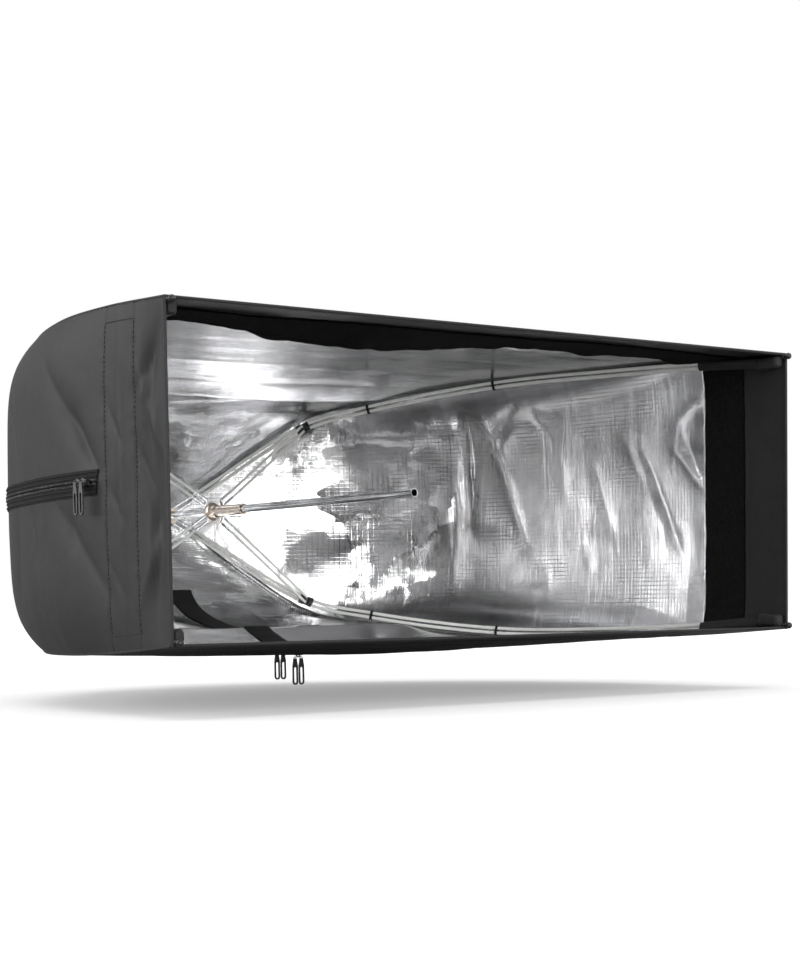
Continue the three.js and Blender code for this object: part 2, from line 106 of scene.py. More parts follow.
# ---- Curves and noise ------------------------------------------------------------------------
class StationCurve:
    """A smooth curve through its stations, which are equal shares of the way along it."""

    def __init__(self, *stations):
        self.points = np.array(stations, float)

    def at(self, share):
        share = np.clip(np.asarray(share, float), 0, 1)
        points, last = self.points, len(self.points) - 1
        padded = np.vstack([2 * points[0] - points[1], points, 2 * points[-1] - points[-2]])
        position = share * last
        k = np.minimum(position.astype(int), last - 1)
        t = (position - k)[..., None]
        p0, p1, p2, p3 = (padded[k + i] for i in range(4))
        d0, d1, d2 = (
            np.linalg.norm(b - a, axis=-1, keepdims=True) ** 0.5
            for a, b in ((p0, p1), (p1, p2), (p2, p3))
        )
        leave = ((p1 - p0) / d0 - (p2 - p0) / (d0 + d1) + (p2 - p1) / d1) * d1
        arrive = ((p2 - p1) / d1 - (p3 - p1) / (d1 + d2) + (p3 - p2) / d2) * d1
        cubic = 2 * p1 - 2 * p2 + leave + arrive
        square = -3 * p1 + 3 * p2 - 2 * leave - arrive
        return p1 + leave * t + square * t**2 + cubic * t**3


SEAM = StationCurve(
    (HALF_WIDTH, 0, HALF_HEIGHT), (323, 100, 133), (309, 205, 136), (266, 340, 135),
    (194, 452, 123), (143, 523, 107), (12, 584, 7),
)
TOP_LINE = StationCurve(
    (0, 0, HALF_HEIGHT), (0, 100, 134), (0, 205, 137), (0, 340, 134), (0, 452, 115),
    (0, 520, 94), (0, 584, 14),
)
BOTTOM_LINE = StationCurve(
    (0, 0, -HALF_HEIGHT), (0, 100, -136), (0, 205, -142), (0, 340, -143), (0, 455, -124),
    (0, 550, -92), (0, 589, -14),
)
SIDE_LINE = StationCurve(
    (HALF_WIDTH, 0, 0), (328, 100, 0), (324, 205, 0), (293, 345, 0), (224, 452, 0),
    (130, 535, 0), (14, 586, 0),
)
SHARES = np.linspace(0, 1, 1201)
SEAM_LENGTHS = np.concatenate(
    [[0], np.cumsum(np.linalg.norm(np.diff(SEAM.at(SHARES), axis=0), axis=1))]
)


def share_at_length(length):
    """The share of the way along the seam at which it has this length."""
    return np.interp(length, SEAM_LENGTHS, SHARES)


def smooth(x):
    x = np.clip(x, 0, 1)
    return x * x * (3 - 2 * x)


def unit(vectors):
    return vectors / np.linalg.norm(vectors, axis=-1, keepdims=True)


def field(points, size, seed=0):
    """Smooth noise from -1 to 1 at each point. Size is its grain."""
    shift = Vector((7.3 * seed, 3.1 * seed, 11.9 * seed))
    return np.array([noise.noise(Vector(p) / size + shift) for p in points])


def scatter(i, j, seed):
    """A random value from -1 to 1 for each pair of whole numbers."""
    mixed = np.sin(i * 127.1 + j * 311.7 + seed * 74.7) * 43758.5453
    return 2 * (mixed - np.floor(mixed)) - 1


def facets(a, b, size, seed):
    """Heights of flat triangles between random corners, as in crumpled foil, from -1 to 1."""
    total = 0
    for shift_a, shift_b in ((1.3, 0.6), (-0.6, 1.3), (-1.3, -0.6), (0.6, -1.3)):
        x, y = (a + shift_a) / size, (b + shift_b) / size
        i, j = np.floor(x), np.floor(y)
        fx, fy = x - i, y - j
        low, right = scatter(i, j, seed), scatter(i + 1, j, seed)
        left, high = scatter(i, j + 1, seed), scatter(i + 1, j + 1, seed)
        one = np.where(
            fx + fy < 1,
            low + (right - low) * fx + (left - low) * fy,
            high + (left - high) * (1 - fx) + (right - high) * (1 - fy),
        )
        other = np.where(
            fx > fy,
            low + (right - low) * fx + (high - right) * fy,
            low + (high - left) * fx + (left - low) * fy,
        )
        total = total + np.where(scatter(i, j, seed + 9) > 0, one, other) / 4
    return total


# ---- Pieces ----------------------------------------------------------------------------------
def new_piece(name, vertices, faces, materials, kinds):
    """An object from points in millimetres. Kinds are the faces' places in materials."""
    mesh = bpy.data.meshes.new(name)
    mesh.from_pydata(in_frame(vertices).tolist(), [], faces)
    for material in materials:
        mesh.materials.append(material)
    mesh.polygons.foreach_set("material_index", kinds)
    mesh.polygons.foreach_set("use_smooth", [True] * len(mesh.polygons))
    work = bmesh.new()
    work.from_mesh(mesh)
    bmesh.ops.recalc_face_normals(work, faces=work.faces)
    work.to_mesh(mesh)
    work.free()
    made = bpy.data.objects.new(name, mesh)
    bpy.context.scene.collection.objects.link(made)
    return made


class Shape:
    """Vertices and faces of one piece, in millimetres, gathered from simple forms."""

    def __init__(self, vertices=(), faces=(), materials=()):
        self.vertices, self.faces, self.materials = list(vertices), list(faces), list(materials)

    def rings(self, rings, material=0, closed=False):
        """A skin over a row of rings with the same number of points."""
        count, last = len(rings[0]), len(rings) - 1
        pairs = [(k, k + 1) for k in range(last)] + ([(last, 0)] if closed else [])
        steps = [(i, (i + 1) % count) for i in range(count)]
        faces = [
            (a * count + i, a * count + j, b * count + j, b * count + i)
            for a, b in pairs
            for i, j in steps
        ]
        if not closed:
            faces.append(tuple(range(count))[::-1])
            faces.append(tuple(last * count + i for i in range(count)))
        start = len(self.vertices)
        self.vertices.extend(tuple(p) for ring in rings for p in ring)
        self.faces.extend(tuple(start + i for i in face) for face in faces)
        self.materials.extend([material] * len(faces))
        return self

    def tube(self, path, radius, sides=12, material=0):
        """A round bar along a path. Radius is one value, or one for each point."""
        path = np.array(path, float)
        radii = np.broadcast_to(np.asarray(radius, float), len(path))
        tangents = unit(np.gradient(path, axis=0))
        side = unit(np.cross(tangents[0], (0.3, 0.5, 0.81)))
        rings = []
        angles = turn_angles(sides)
        for point, tangent, r in zip(path, tangents, radii):
            side = unit(side - tangent * np.dot(side, tangent))
            up = np.cross(tangent, side)
            turn = np.cos(angles)[:, None] * side + np.sin(angles)[:, None] * up
            rings.append(point + r * turn)
        return self.rings(rings, material)

    def turned(self, profile, segments, material=0, closed=True, centre=(0, 0)):
        """A body turned about a line along Y. The profile is a list of (radius, y), or of
        (radius, y, depth) where eight notches of that depth cut into it."""
        angles = turn_angles(segments)
        notched = np.abs((angles / (math.pi / 4)) % 1 - 0.5) < 0.1
        rings = []
        for radius, y, *depth in profile:
            r = max(radius, 0.002) - (depth[0] if depth else 0) * notched
            x, z = centre[0] + r * np.sin(angles), centre[1] + r * np.cos(angles)
            rings.append(np.stack([x, np.full(segments, float(y)), z], axis=1))
        return self.rings(rings, material, closed)

    def moved(self, change, turn=1):
        """A copy with each vertex changed. Turn is -1 where the change is a mirroring."""
        faces = [face[::turn] for face in self.faces]
        return Shape([tuple(change(v)) for v in self.vertices], faces, self.materials)

    def piece(self, name, materials, slot, bevel=0.0, crease=40):
        """Makes the object. Bevel is the width of its rounded edges, in millimetres."""
        made = new_piece(name, self.vertices, self.faces, materials, self.materials)
        made.data.set_sharp_from_angle(angle=math.radians(crease))
        if bevel:
            rounded = made.modifiers.new("rounded edges", "BEVEL")
            rounded.width = bevel * MM
            rounded.segments = 2
            rounded.limit_method = "ANGLE"
            rounded.angle_limit = math.radians(crease)
            rounded.harden_normals = True
        return made


def turn_angles(count):
    return np.arange(count) * 2 * math.pi / count


def arc(centre, radius, start, end, count):
    """Points of an arc in a plane, with its angles in degrees."""
    angles = np.radians(np.linspace(start, end, count))
    return [(centre[0] + radius * math.cos(t), centre[1] + radius * math.sin(t)) for t in angles]


def rounded_ring(centre, wide, high, half_width, half_height, roundness=4.0, count=28):
    """A rounded rectangle about a centre, in the plane of two directions."""
    angles = turn_angles(count)
    c, s = np.cos(angles), np.sin(angles)
    x = half_width * np.sign(c) * np.abs(c) ** (2 / roundness)
    y = half_height * np.sign(s) * np.abs(s) ** (2 / roundness)
    return centre + x[:, None] * wide + y[:, None] * high


# ---- Materials -------------------------------------------------------------------------------
class Nodes:
    """A node tree, and the few patterns that its looks are made of."""

    def __init__(self, tree):
        self.tree = tree

    def fill(self, node, inputs):
        for key, value in inputs.items():
            socket = node.inputs[key]
            if isinstance(value, bpy.types.NodeSocket):
                self.tree.links.new(value, socket)
            else:
                socket.default_value = (*value, 1) if socket.type == "RGBA" else value

    def node(self, kind, inputs={}, **settings):
        made = self.tree.nodes.new("ShaderNode" + kind)
        for key, value in settings.items():
            setattr(made, key, value)
        self.fill(made, inputs)
        return made

    def place(self):
        """Where a point is on the object, in metres."""
        return self.node("TexCoord").outputs["Object"]

    def cloth(self):
        """Where a point is on the cloth: across, along, and how crumpled it is there."""
        vector = self.node("Attribute", attribute_name="cloth").outputs["Vector"]
        return self.node("SeparateXYZ", {"Vector": vector}).outputs

    def noise(self, scale, detail=2.0, rough=0.5, distortion=0.0, at=None, output="Fac"):
        inputs = {"Vector": at or self.place(), "Scale": scale, "Detail": detail}
        inputs.update({"Roughness": rough, "Distortion": distortion})
        return self.node("TexNoise", inputs).outputs[output]

    def cells(self, vector, scale):
        return self.node("TexVoronoi", {"Vector": vector, "Scale": scale}, feature="F1").outputs

    def stretch(self, vector, scale):
        return self.node("Mapping", {"Vector": vector, "Scale": scale}).outputs["Vector"]

    def math(self, operation, first, second=0.0):
        return self.node("Math", {0: first, 1: second}, operation=operation).outputs["Value"]

    def vector_math(self, operation, first, second=(0, 0, 0), scale=1.0):
        inputs = {0: first, 1: second, 3: scale}
        return self.node("VectorMath", inputs, operation=operation).outputs[0]

    def span(self, value, low, high, to_low=0.0, to_high=1.0, **settings):
        """Carries value from one span to another, and stops at its ends."""
        inputs = {"Value": value, "From Min": low, "From Max": high}
        inputs.update({"To Min": to_low, "To Max": to_high})
        return self.node("MapRange", inputs, **settings).outputs["Result"]

    def blend(self, factor, first, second):
        """A colour between two colours."""
        return self.node("Mix", {0: factor, 6: first, 7: second}, data_type="RGBA").outputs[2]

    def lines(self, value, pitch, width):
        """Thin lines, 1 on a line and 0 between, at each pitch."""
        return self.span(self.math("PINGPONG", value, pitch / 2), 0.0, width, 1.0, 0.0)

    def facets(self, vector, amount, layers):
        """A normal that leans a different way in each cell, as in crumpled foil."""
        normal = self.node("NewGeometry").outputs["Normal"]
        warp = self.vector_math("SCALE", self.noise(28.0, at=vector, output="Color"), scale=0.05)
        vector = self.vector_math("ADD", vector, warp)
        for scale, lean in layers:
            colour = self.cells(vector, scale)["Color"]
            centred = self.vector_math("SUBTRACT", colour, (0.5, 0.5, 0.5))
            factor = self.math("MULTIPLY", amount, lean)
            leaning = self.vector_math("SCALE", centred, scale=factor)
            normal = self.vector_math("NORMALIZE", self.vector_math("ADD", normal, leaning))
        return normal


class Finish(Nodes):
    """One procedural material."""

    def __init__(self, name, **inputs):
        self.material = bpy.data.materials.new(name)
        self.material.use_nodes = True
        super().__init__(self.material.node_tree)
        self.set(**inputs)

    def set(self, **inputs):
        surface = self.tree.nodes["Principled BSDF"]
        self.fill(surface, {key.replace("_", " "): value for key, value in inputs.items()})

    def relief(self, *layers, start=None):
        """Bump layers, each (height, depth in millimetres), one over the other. Last step."""
        normal = start
        for height, depth in layers:
            inputs = {"Height": height, "Strength": 1.0, "Distance": depth * MM}
            if normal is not None:
                inputs["Normal"] = normal
            normal = self.node("Bump", inputs).outputs["Normal"]
        self.set(Normal=normal)
        return self.material


def nylon_finish(name, dark, light, roughness, gloss):
    """Coated nylon: a fine plain weave, soft uneven dye and a faint sheen."""
    look = Finish(name, Sheen_Weight=0.1 * gloss, Sheen_Roughness=0.5, Specular_IOR_Level=gloss)
    uneven, fine = look.noise(9.0, 4.0), look.noise(900.0, 2.0)
    mottle = look.math("ADD", look.math("MULTIPLY", uneven, 0.7), look.math("MULTIPLY", fine, 0.3))
    look.set(Base_Color=look.blend(look.span(mottle, 0.3, 0.7), dark, light))
    look.set(Roughness=look.span(uneven, 0.3, 0.7, roughness - 0.05, roughness + 0.06))
    turn = 2 * math.pi / (0.9 * MM)
    waves = (look.math("SINE", look.math("MULTIPLY", way, turn)) for way in look.cloth()[:2])
    return look.relief((look.noise(45.0, 3.0), 0.6), (look.math("MULTIPLY", *waves), 0.02))


def silver_finish():
    """Metallised ripstop: a fine square grid, soft streaks, and facets where crumpled."""
    look = Finish("silver lining", Metallic=1.0)
    across, along, crumple = look.cloth()
    flat = look.node("CombineXYZ", {"X": across, "Y": along}).outputs["Vector"]
    grid = look.math("MAXIMUM", *(look.lines(way, 0.0042, 0.0007) for way in (across, along)))
    patches = look.noise(13.0, 3.0, 0.6, at=flat)
    grid_here = look.math("MULTIPLY", grid, look.span(patches, 0.42, 0.6, 0.15, 1.0))
    cloudy = look.noise(30.0, 5.0, 0.65, 0.4, at=flat)
    base = look.blend(look.span(cloudy, 0.35, 0.7), (0.8, 0.8, 0.81), (0.93, 0.93, 0.94))
    base = look.blend(look.math("MULTIPLY", grid_here, 0.38), base, (0.36, 0.36, 0.37))
    roughness = look.span(look.noise(22.0, 3.0, at=flat), 0.3, 0.7, 0.13, 0.24)
    look.set(Base_Color=base, Roughness=roughness)
    streaks = look.noise(1.0, 4.0, 0.55, 0.5, at=look.stretch(flat, (9.0, 60.0, 1.0)))
    fine = look.noise(190.0, 3.0, 0.6, at=flat)
    tilted = look.facets(flat, crumple, ((11.0, 0.16), (30.0, 0.06), (120.0, 0.03)))
    return look.relief((streaks, 0.5), (fine, 0.035), (grid_here, 0.05), start=tilted)


def loop_finish():
    """Loop tape: a deep black pile of tiny loops."""
    look = Finish("loop tape", Roughness=0.95, Specular_IOR_Level=0.1)
    clumps = look.noise(260.0, 4.0, 0.7)
    shade = look.span(clumps, 0.35, 0.75)
    look.set(Base_Color=look.blend(shade, (0.0015, 0.0015, 0.0015), (0.01, 0.01, 0.0105)))
    look.set(Sheen_Weight=0.025, Sheen_Roughness=0.9)
    return look.relief((clumps, 1.2), (look.cells(look.place(), 1100.0)["Distance"], 0.5))


def webbing_finish(name, colour, pitch):
    """Woven tape: a herringbone of fine ribs."""
    look = Finish(name, Roughness=0.75, Specular_IOR_Level=0.3)
    across, along, _ = look.cloth()
    bent = look.math("ADD", along, look.math("PINGPONG", across, 0.0015))
    ribs = look.lines(bent, pitch * MM, 0.4 * pitch * MM)
    worn = look.noise(120.0, 4.0)
    lighter = tuple(2.2 * c + 0.006 for c in colour)
    look.set(Base_Color=look.blend(look.math("MULTIPLY", ribs, worn), colour, lighter))
    return look.relief((ribs, 0.15), (worn, 0.1))


def metal_finish(name, colour, roughness, grain=0.05, tint=None):
    """Plated metal: turning marks along its length, fine scratches and slightly dull patches."""
    look = Finish(name, Metallic=1.0)
    drawn = look.noise(1.0, 3.0, at=look.stretch(look.place(), (900.0, 12.0, 900.0)))
    patches = look.noise(140.0, 4.0)
    other = tint or tuple(0.8 * c for c in colour)
    look.set(Base_Color=look.blend(look.span(patches, 0.4, 0.8), colour, other))
    look.set(Roughness=look.span(patches, 0.3, 0.75, roughness * 0.8, roughness * 1.9))
    return look.relief((drawn, grain), (look.noise(700.0, 2.0), grain / 2))


def enamel_finish():
    """Black enamel on metal, with lighter grey painted along its sharp edges as an edge highlight,
    in patches.
    """
    look = Finish("black enamel", Metallic=0.0, Coat_Weight=0.15, Coat_Roughness=0.25)
    worn = look.noise(420.0, 5.0, 0.7)
    edges = look.node("NewGeometry").outputs["Pointiness"]
    # Painted highlight: sharp edges, found by pointiness, turn lighter grey where the patchy noise
    # is high.
    painted_edge_highlight = look.math("MULTIPLY", look.span(edges, 0.52, 0.62), look.span(worn, 0.45, 0.6))
    look.set(Base_Color=look.blend(painted_edge_highlight, (0.012, 0.012, 0.013), (0.2, 0.2, 0.2)))
    look.set(Roughness=look.span(worn, 0.3, 0.7, 0.2, 0.38))
    return look.relief((worn, 0.04))


def fibreglass_finish():
    """Pale green-white fibreglass: translucent, with fibres running along the rod, and a faint
    painted glow in its own colour.
    """
    look = Finish("fibreglass", IOR=1.5, Roughness=0.22)
    fibres = look.noise(1.0, 4.0, 0.6, at=look.stretch(look.place(), (1400.0, 40.0, 1400.0)))
    mixed = look.math("MULTIPLY", fibres, look.math("ADD", look.noise(60.0, 3.0), 0.5))
    base = look.blend(look.span(mixed, 0.25, 0.7), (0.76, 0.78, 0.74), (0.92, 0.93, 0.9))
    look.set(Base_Color=base, Transmission_Weight=0.1, Coat_Weight=0.3, Coat_Roughness=0.1)
    look.set(Subsurface_Weight=0.3, Subsurface_Radius=(0.004, 0.005, 0.004), Subsurface_Scale=1.0)
    # Painted glow: the rods emit their own colour faintly, so they read lighter than their
    # lighting makes them.
    look.set(Emission_Color=base, Emission_Strength=0.08)
    return look.relief((fibres, 0.05))


def plastic_finish():
    """Black moulded plastic with a fine spark-eroded grain."""
    look = Finish("black plastic", Specular_IOR_Level=0.4)
    smears = look.noise(90.0, 4.0)
    look.set(Base_Color=look.blend(smears, (0.014, 0.014, 0.015), (0.03, 0.03, 0.031)))
    look.set(Roughness=look.span(smears, 0.3, 0.7, 0.4, 0.55))
    return look.relief((look.noise(2600.0, 3.0, 0.6), 0.06))


def thread_finish():
    """Twisted black sewing thread."""
    look = Finish("black thread", Roughness=0.6, Sheen_Weight=0.2)
    twist = look.noise(1800.0, 2.0)
    dark, light = 0.006, 1.8 * 0.006 + 0.01
    look.set(Base_Color=look.blend(twist, (dark,) * 3, (light,) * 3))
    return look.relief((twist, 0.08))


def stage_finish():
    """Pale studio floor, lit from below like a cyclorama, which throws little light back up."""
    look = Finish("studio floor", Roughness=0.75, Specular_IOR_Level=0.1)
    pale = look.blend(look.noise(3.0, 4.0), (0.9, 0.9, 0.9), (0.94, 0.94, 0.94))
    seen = look.node("LightPath").outputs["Is Camera Ray"]
    look.set(Base_Color=look.blend(seen, (0.3, 0.3, 0.3), pale))
    look.set(Emission_Color=(1.0, 1.0, 1.0), Emission_Strength=look.math("MULTIPLY", seen, 0.3))
    return look.material


NYLON = nylon_finish("charcoal nylon", (0.026, 0.0263, 0.027), (0.037, 0.0374, 0.0382), 0.46, 0.2)
SATIN = nylon_finish("black satin lip", (0.03, 0.03, 0.031), (0.046, 0.046, 0.047), 0.45, 0.2)
SILVER = silver_finish()
LOOP = loop_finish()
ZIP_CLOTH = webbing_finish("zip tape", (0.008, 0.008, 0.0085), 0.9)
ZIP_COIL = metal_finish("zip coil", (0.1, 0.1, 0.1), 0.3)
TIE = webbing_finish("black tie", (0.006, 0.006, 0.006), 0.8)
CHROME = metal_finish("chrome", (0.82, 0.83, 0.84), 0.07, 0.02)
CHAMPAGNE = metal_finish("champagne plating", (0.74, 0.65, 0.56), 0.16, 0.04, (0.82, 0.77, 0.71))
ENAMEL = enamel_finish()
FIBREGLASS = fibreglass_finish()
PLASTIC = plastic_finish()
BLACK_THREAD = thread_finish()
# Painted shade: a near-black, matte material for a ring set inside the runner's bore.
BORE_SHADE = Finish("painted bore shade", Base_Color=(0.01, 0.01, 0.01), Roughness=0.8).material


# ---- Cloth: the four gores -------------------------------------------------------------------
# Folds are (depth, cross, depth, cross, width, height): cross is z on a side wall and x on the
# top and bottom gores. A positive height stands out of the softbox.
FOLDS = {
    "left": (
        (213, 100, 114, 11, 9, -4.8), (160, 58, 114, 9, 6, -3.3), (190, -14, 97, -90, 9, -3.9),
        (330, 95, 290, 12, 10, -3.6), (250, -14, 238, -70, 6, -2.7), (300, -14, 300, -88, 7, -2.7),
        (165, -12, 158, -52, 4, -2.1), (212, -12, 215, -60, 4, -1.8), (26, 118, 20, -118, 8, -4.6),
        (42, 104, 36, 20, 4, 3.2), (10, 40, 16, -100, 4, -3.0), (2, 122, 47, 60, 7, -4.8),
        (46, 84, 6, 10, 6, 3.6), (44, 20, 8, -52, 6, -3.6), (8, -30, 44, -96, 7, 3.0),
        (14, 60, 30, -60, 8, 3.6), (72, 118, 72, -118, 5, 2.8), (94, 60, 66, 20, 3, -1.7),
        (94, -4, 66, -38, 3, -1.7), (96, -62, 68, -92, 3, -1.5),
    ),
    "right": (
        (395, 112, 392, -26, 6, -3.6), (380, 104, 336, -36, 7, 3.0), (404, 92, 407, -98, 5, 2.6),
        (102, 98, 138, 76, 5, 1.9), (138, 78, 143, 46, 5, 2.2), (143, 48, 104, 8, 5, 1.9),
        (128, 60, 108, 20, 8, -1.9), (208, 62, 174, -2, 4, 1.7), (184, 52, 136, -54, 5, 2.0),
        (196, 40, 160, -24, 4, -1.2), (290, 48, 288, 6, 3, 1.3), (248, 42, 226, -32, 4, 1.7),
        (262, -40, 256, -70, 3, 1.2), (310, -60, 304, -100, 4, 1.2), (228, -96, 140, -116, 6, 1.4),
        (335, 118, 300, 70, 7, -1.6), (335, 118, 375, 60, 6, -1.6), (46, 70, 6, 20, 6, 1.3),
        (44, -10, 8, -80, 7, 1.2),
    ),
    "top": (
        (480, -250, 440, -110, 6, 5), (470, -170, 436, -60, 5, -4), (500, -120, 440, 20, 6, 5),
        (300, -300, 240, 240, 12, 1.6), (250, -290, 180, 200, 10, -1.4),
        (350, -250, 330, 220, 12, 1.8), (395, -210, 385, 180, 9, -1.8),
        (160, -60, 120, 280, 9, -1.8), (210, 20, 150, 300, 9, 1.6),
        (60, -310, 40, -120, 8, -2.4), (30, 40, 60, 280, 9, 2),
    ),
    "bottom": (
        (500, -200, 440, -160, 5, 4), (510, -160, 440, -100, 4, -3.5),
        (520, -120, 450, -50, 5, 4), (300, -280, 330, 120, 12, 1.4),
        (380, -160, 395, 190, 10, -1.6), (210, -100, 250, 260, 11, 1.8),
        (60, -280, 40, 80, 8, -2), (35, 60, 60, 300, 8, 1.8), (150, -220, 170, 200, 10, 1.6),
    ),
}
# The crease that each flat gore is pulled into: depth, height, widths in front of and behind it.
TENSION = {"top": (430, 9.0, 26, 26), "bottom": (408, 15.0, 30, 15)}
CRUMPLED_FROM = {"left": 400, "right": 400, "top": 440, "bottom": 425}
CRUMPLED_TO = 592
BAND_LEAD = 0.006  # taken off the bands' weights, which carry() does not use
BAND_SAG = (95, 120, 13)  # the top band hangs: how far left of the middle, half width, depth
BAND_END = 0.985  # the share of the way to the seam at which the bands end
BAND_WAVES = {"top": 3.4, "bottom": 1.2, "left": 0.3, "right": 0.3}


def along_fold(a, b, fold):
    """Height of one soft crease at (a, b)."""
    a0, b0, a1, b1, width, height = fold
    run = np.array([a1 - a0, b1 - b0], float)
    share = ((a - a0) * run[0] + (b - b0) * run[1]) / math.hypot(*run) ** 2
    held = np.clip(share, 0, 1)
    away = np.hypot(a - a0 - held * run[0], b - b0 - held * run[1])
    crest = np.exp(-np.sqrt(away**2 + 1.2) / width)
    return height * crest * np.sin(math.pi * (0.08 + 0.84 * held)) ** 0.8


class Wall:
    """One quarter of a gore: half of the top or bottom, or half of a side wall."""

    def __init__(self, quarter, is_side):
        self.quarter, self.is_side = quarter, is_side
        self.mirror_x, self.mirror_z = QUARTERS[quarter]
        self.kind = quarter.split("_")[1 if is_side else 0]  # top, bottom, left or right
        self.label = f"side_{quarter}" if is_side else quarter
        self.width = HALF_HEIGHT if is_side else HALF_WIDTH
        self.middle = {"top": TOP_LINE, "bottom": BOTTOM_LINE}.get(self.kind, SIDE_LINE)
        self.boxy = 6.0 if is_side else 2.0  # how late the cloth turns in to its seams

    def base(self, u, v):
        """The smooth surface: u runs from the middle line (0) to the seam (1), v to the crown."""
        edge = SEAM.at(v) * (self.mirror_x, 1, self.mirror_z)
        middle = self.middle.at(v) * (self.mirror_x, 1, 1)
        point = middle + (edge - middle) * (np.abs(u) ** self.boxy)[..., None]
        held = 2 if self.is_side else 0
        point[..., held] = edge[..., held] * u
        return point

    def normal(self, u, v):
        step = 2e-3
        across = self.base(u + step, v) - self.base(u - step, v)
        low, high = np.maximum(v - step, 0), np.minimum(v + step, 1)
        normal = unit(np.cross(across, self.base(u, high) - self.base(u, low)))
        out = self.base(u, v) - (0, 200, 0)
        facing = np.sign(np.sum(normal * out, axis=-1, keepdims=True))
        return normal * np.where(facing == 0, 1, facing)

    def cross(self, points):
        return points[..., 2] if self.is_side else points[..., 0]

    def edge(self, shares):
        """How far the seam lies from the middle line."""
        return np.abs(self.cross(SEAM.at(shares)))

    def relief(self, u, v):
        """How far the cloth stands out of its smooth surface, and how far its lining bulges in."""
        points = self.base(u, v).reshape(-1, 3)
        u_flat, v_flat = u.ravel(), v.ravel()
        depth, cross = points[:, 1], self.cross(points)
        far = np.interp(v_flat, SHARES, SEAM_LENGTHS)
        wander, wander_too = field(points, 46, 3), field(points, 38, 4)
        a, b = depth + 4 * wander, cross + 4 * wander_too
        height = sum(along_fold(a, b, fold) for fold in FOLDS[self.kind])
        height = height + 1.0 * field(points, 85, 1) + 0.2 * field(points, 24, 2)
        if self.kind in TENSION:
            crease_depth, rise, before, behind = TENSION[self.kind]
            past = depth - crease_depth + 3 * wander
            away = np.sqrt(past**2 + 2)
            fall = np.exp(-away / np.where(past > 0, behind, before))
            height = height - rise * fall * smooth((1 - u_flat**2) * 3)
        ends = (1 - u_flat**6) * smooth((0.992 - v_flat) / 0.05)
        height = height * ends * smooth(depth / 12)
        for stitched in STITCH_DEPTHS:
            away = far - stitched
            pucker = 0.5 * field(np.stack([cross, cross * 0, away * 0.3], axis=1), 7, 6)
            groove = 0.7 * np.exp(-((away / 1.6) ** 2))
            height = height + pucker * np.exp(-((away / 9) ** 2)) - groove
        crumpled = smooth((depth - CRUMPLED_FROM[self.kind]) / 50)
        crumpled = crumpled * smooth((CRUMPLED_TO - depth) / 30)
        bent_a, bent_b = far + 22 * wander, cross + 26 * wander_too
        large, small = facets(bent_a * 0.8, bent_b, 84, 1), facets(bent_a, bent_b, 33, 2)
        bulge = crumpled * (5.0 * large + 0.8 * small + 3.5)
        bulge = bulge + (1 - crumpled) * 0.5 * (1 + facets(bent_a, bent_b * 0.5, 52, 3))
        bulge = (bulge + np.sqrt(bulge**2 + 0.5)) / 2  # the lining never passes the nylon
        bulge = bulge * ends * smooth((depth - STITCH_DEPTHS[1]) / 25)
        return height.reshape(u.shape), bulge.reshape(u.shape)

    def faces(self, u, v, outer_stand=0.0, inner_stand=-CLOTH):
        """Two faces that follow the cloth: one out of its outer face, one into its lining."""
        u, v = np.broadcast_arrays(np.asarray(u, float), np.asarray(v, float))
        height, bulge = self.relief(u, v)
        base, normal = self.base(u, v), self.normal(u, v)
        outer = base + normal * (height + outer_stand)[..., None]
        inner = base + normal * (height - bulge + inner_stand)[..., None]
        return outer, inner

    def at(self, u, v, stand=0.0):
        """Points that stand out of the cloth's outer face."""
        return self.faces(u, v, stand)[0]

    def inside(self, u, v, stand):
        """Points that stand into the softbox from its lining."""
        return self.faces(u, v, 0.0, -CLOTH - stand)[1]

    def carry(self, made, weights):
        """Bakes the piece's placement into its mesh. Weights, 0 at the seam and 1 at the middle
        line, are not used.
        """
        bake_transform(made)
        return made


def grid_normals(points, like):
    """Normals of a grid of points, on the side that like points to."""
    normal = np.cross(np.gradient(points, axis=1), np.gradient(points, axis=0))
    normal /= np.linalg.norm(normal, axis=-1, keepdims=True) + 1e-12
    return normal if np.sum(normal * like) > 0 else -normal


def gore_rows(first=0.0, last=SEAM_LENGTHS[-1], step=ROW_STEP):
    """Lengths along the seam for the rows of a sheet, closer together by the stitches."""
    rows = list(np.linspace(first, last, max(2, int((last - first) / step) + 1)))
    for stitched in STITCH_DEPTHS:
        rows += [stitched + away for away in (-4.5, -2.2, -1.1, 0, 1.1, 2.2, 4.5)]
    rows = sorted(row for row in rows if first <= row <= last)
    kept = [rows[0]]
    for row in rows[1:]:
        if row - kept[-1] > 0.7:
            kept.append(row)
    kept[-1] = last
    return np.array(kept)


def with_ghost(u):
    """Columns from the middle line, after one on its far side."""
    return np.concatenate([[-u[1]], u])


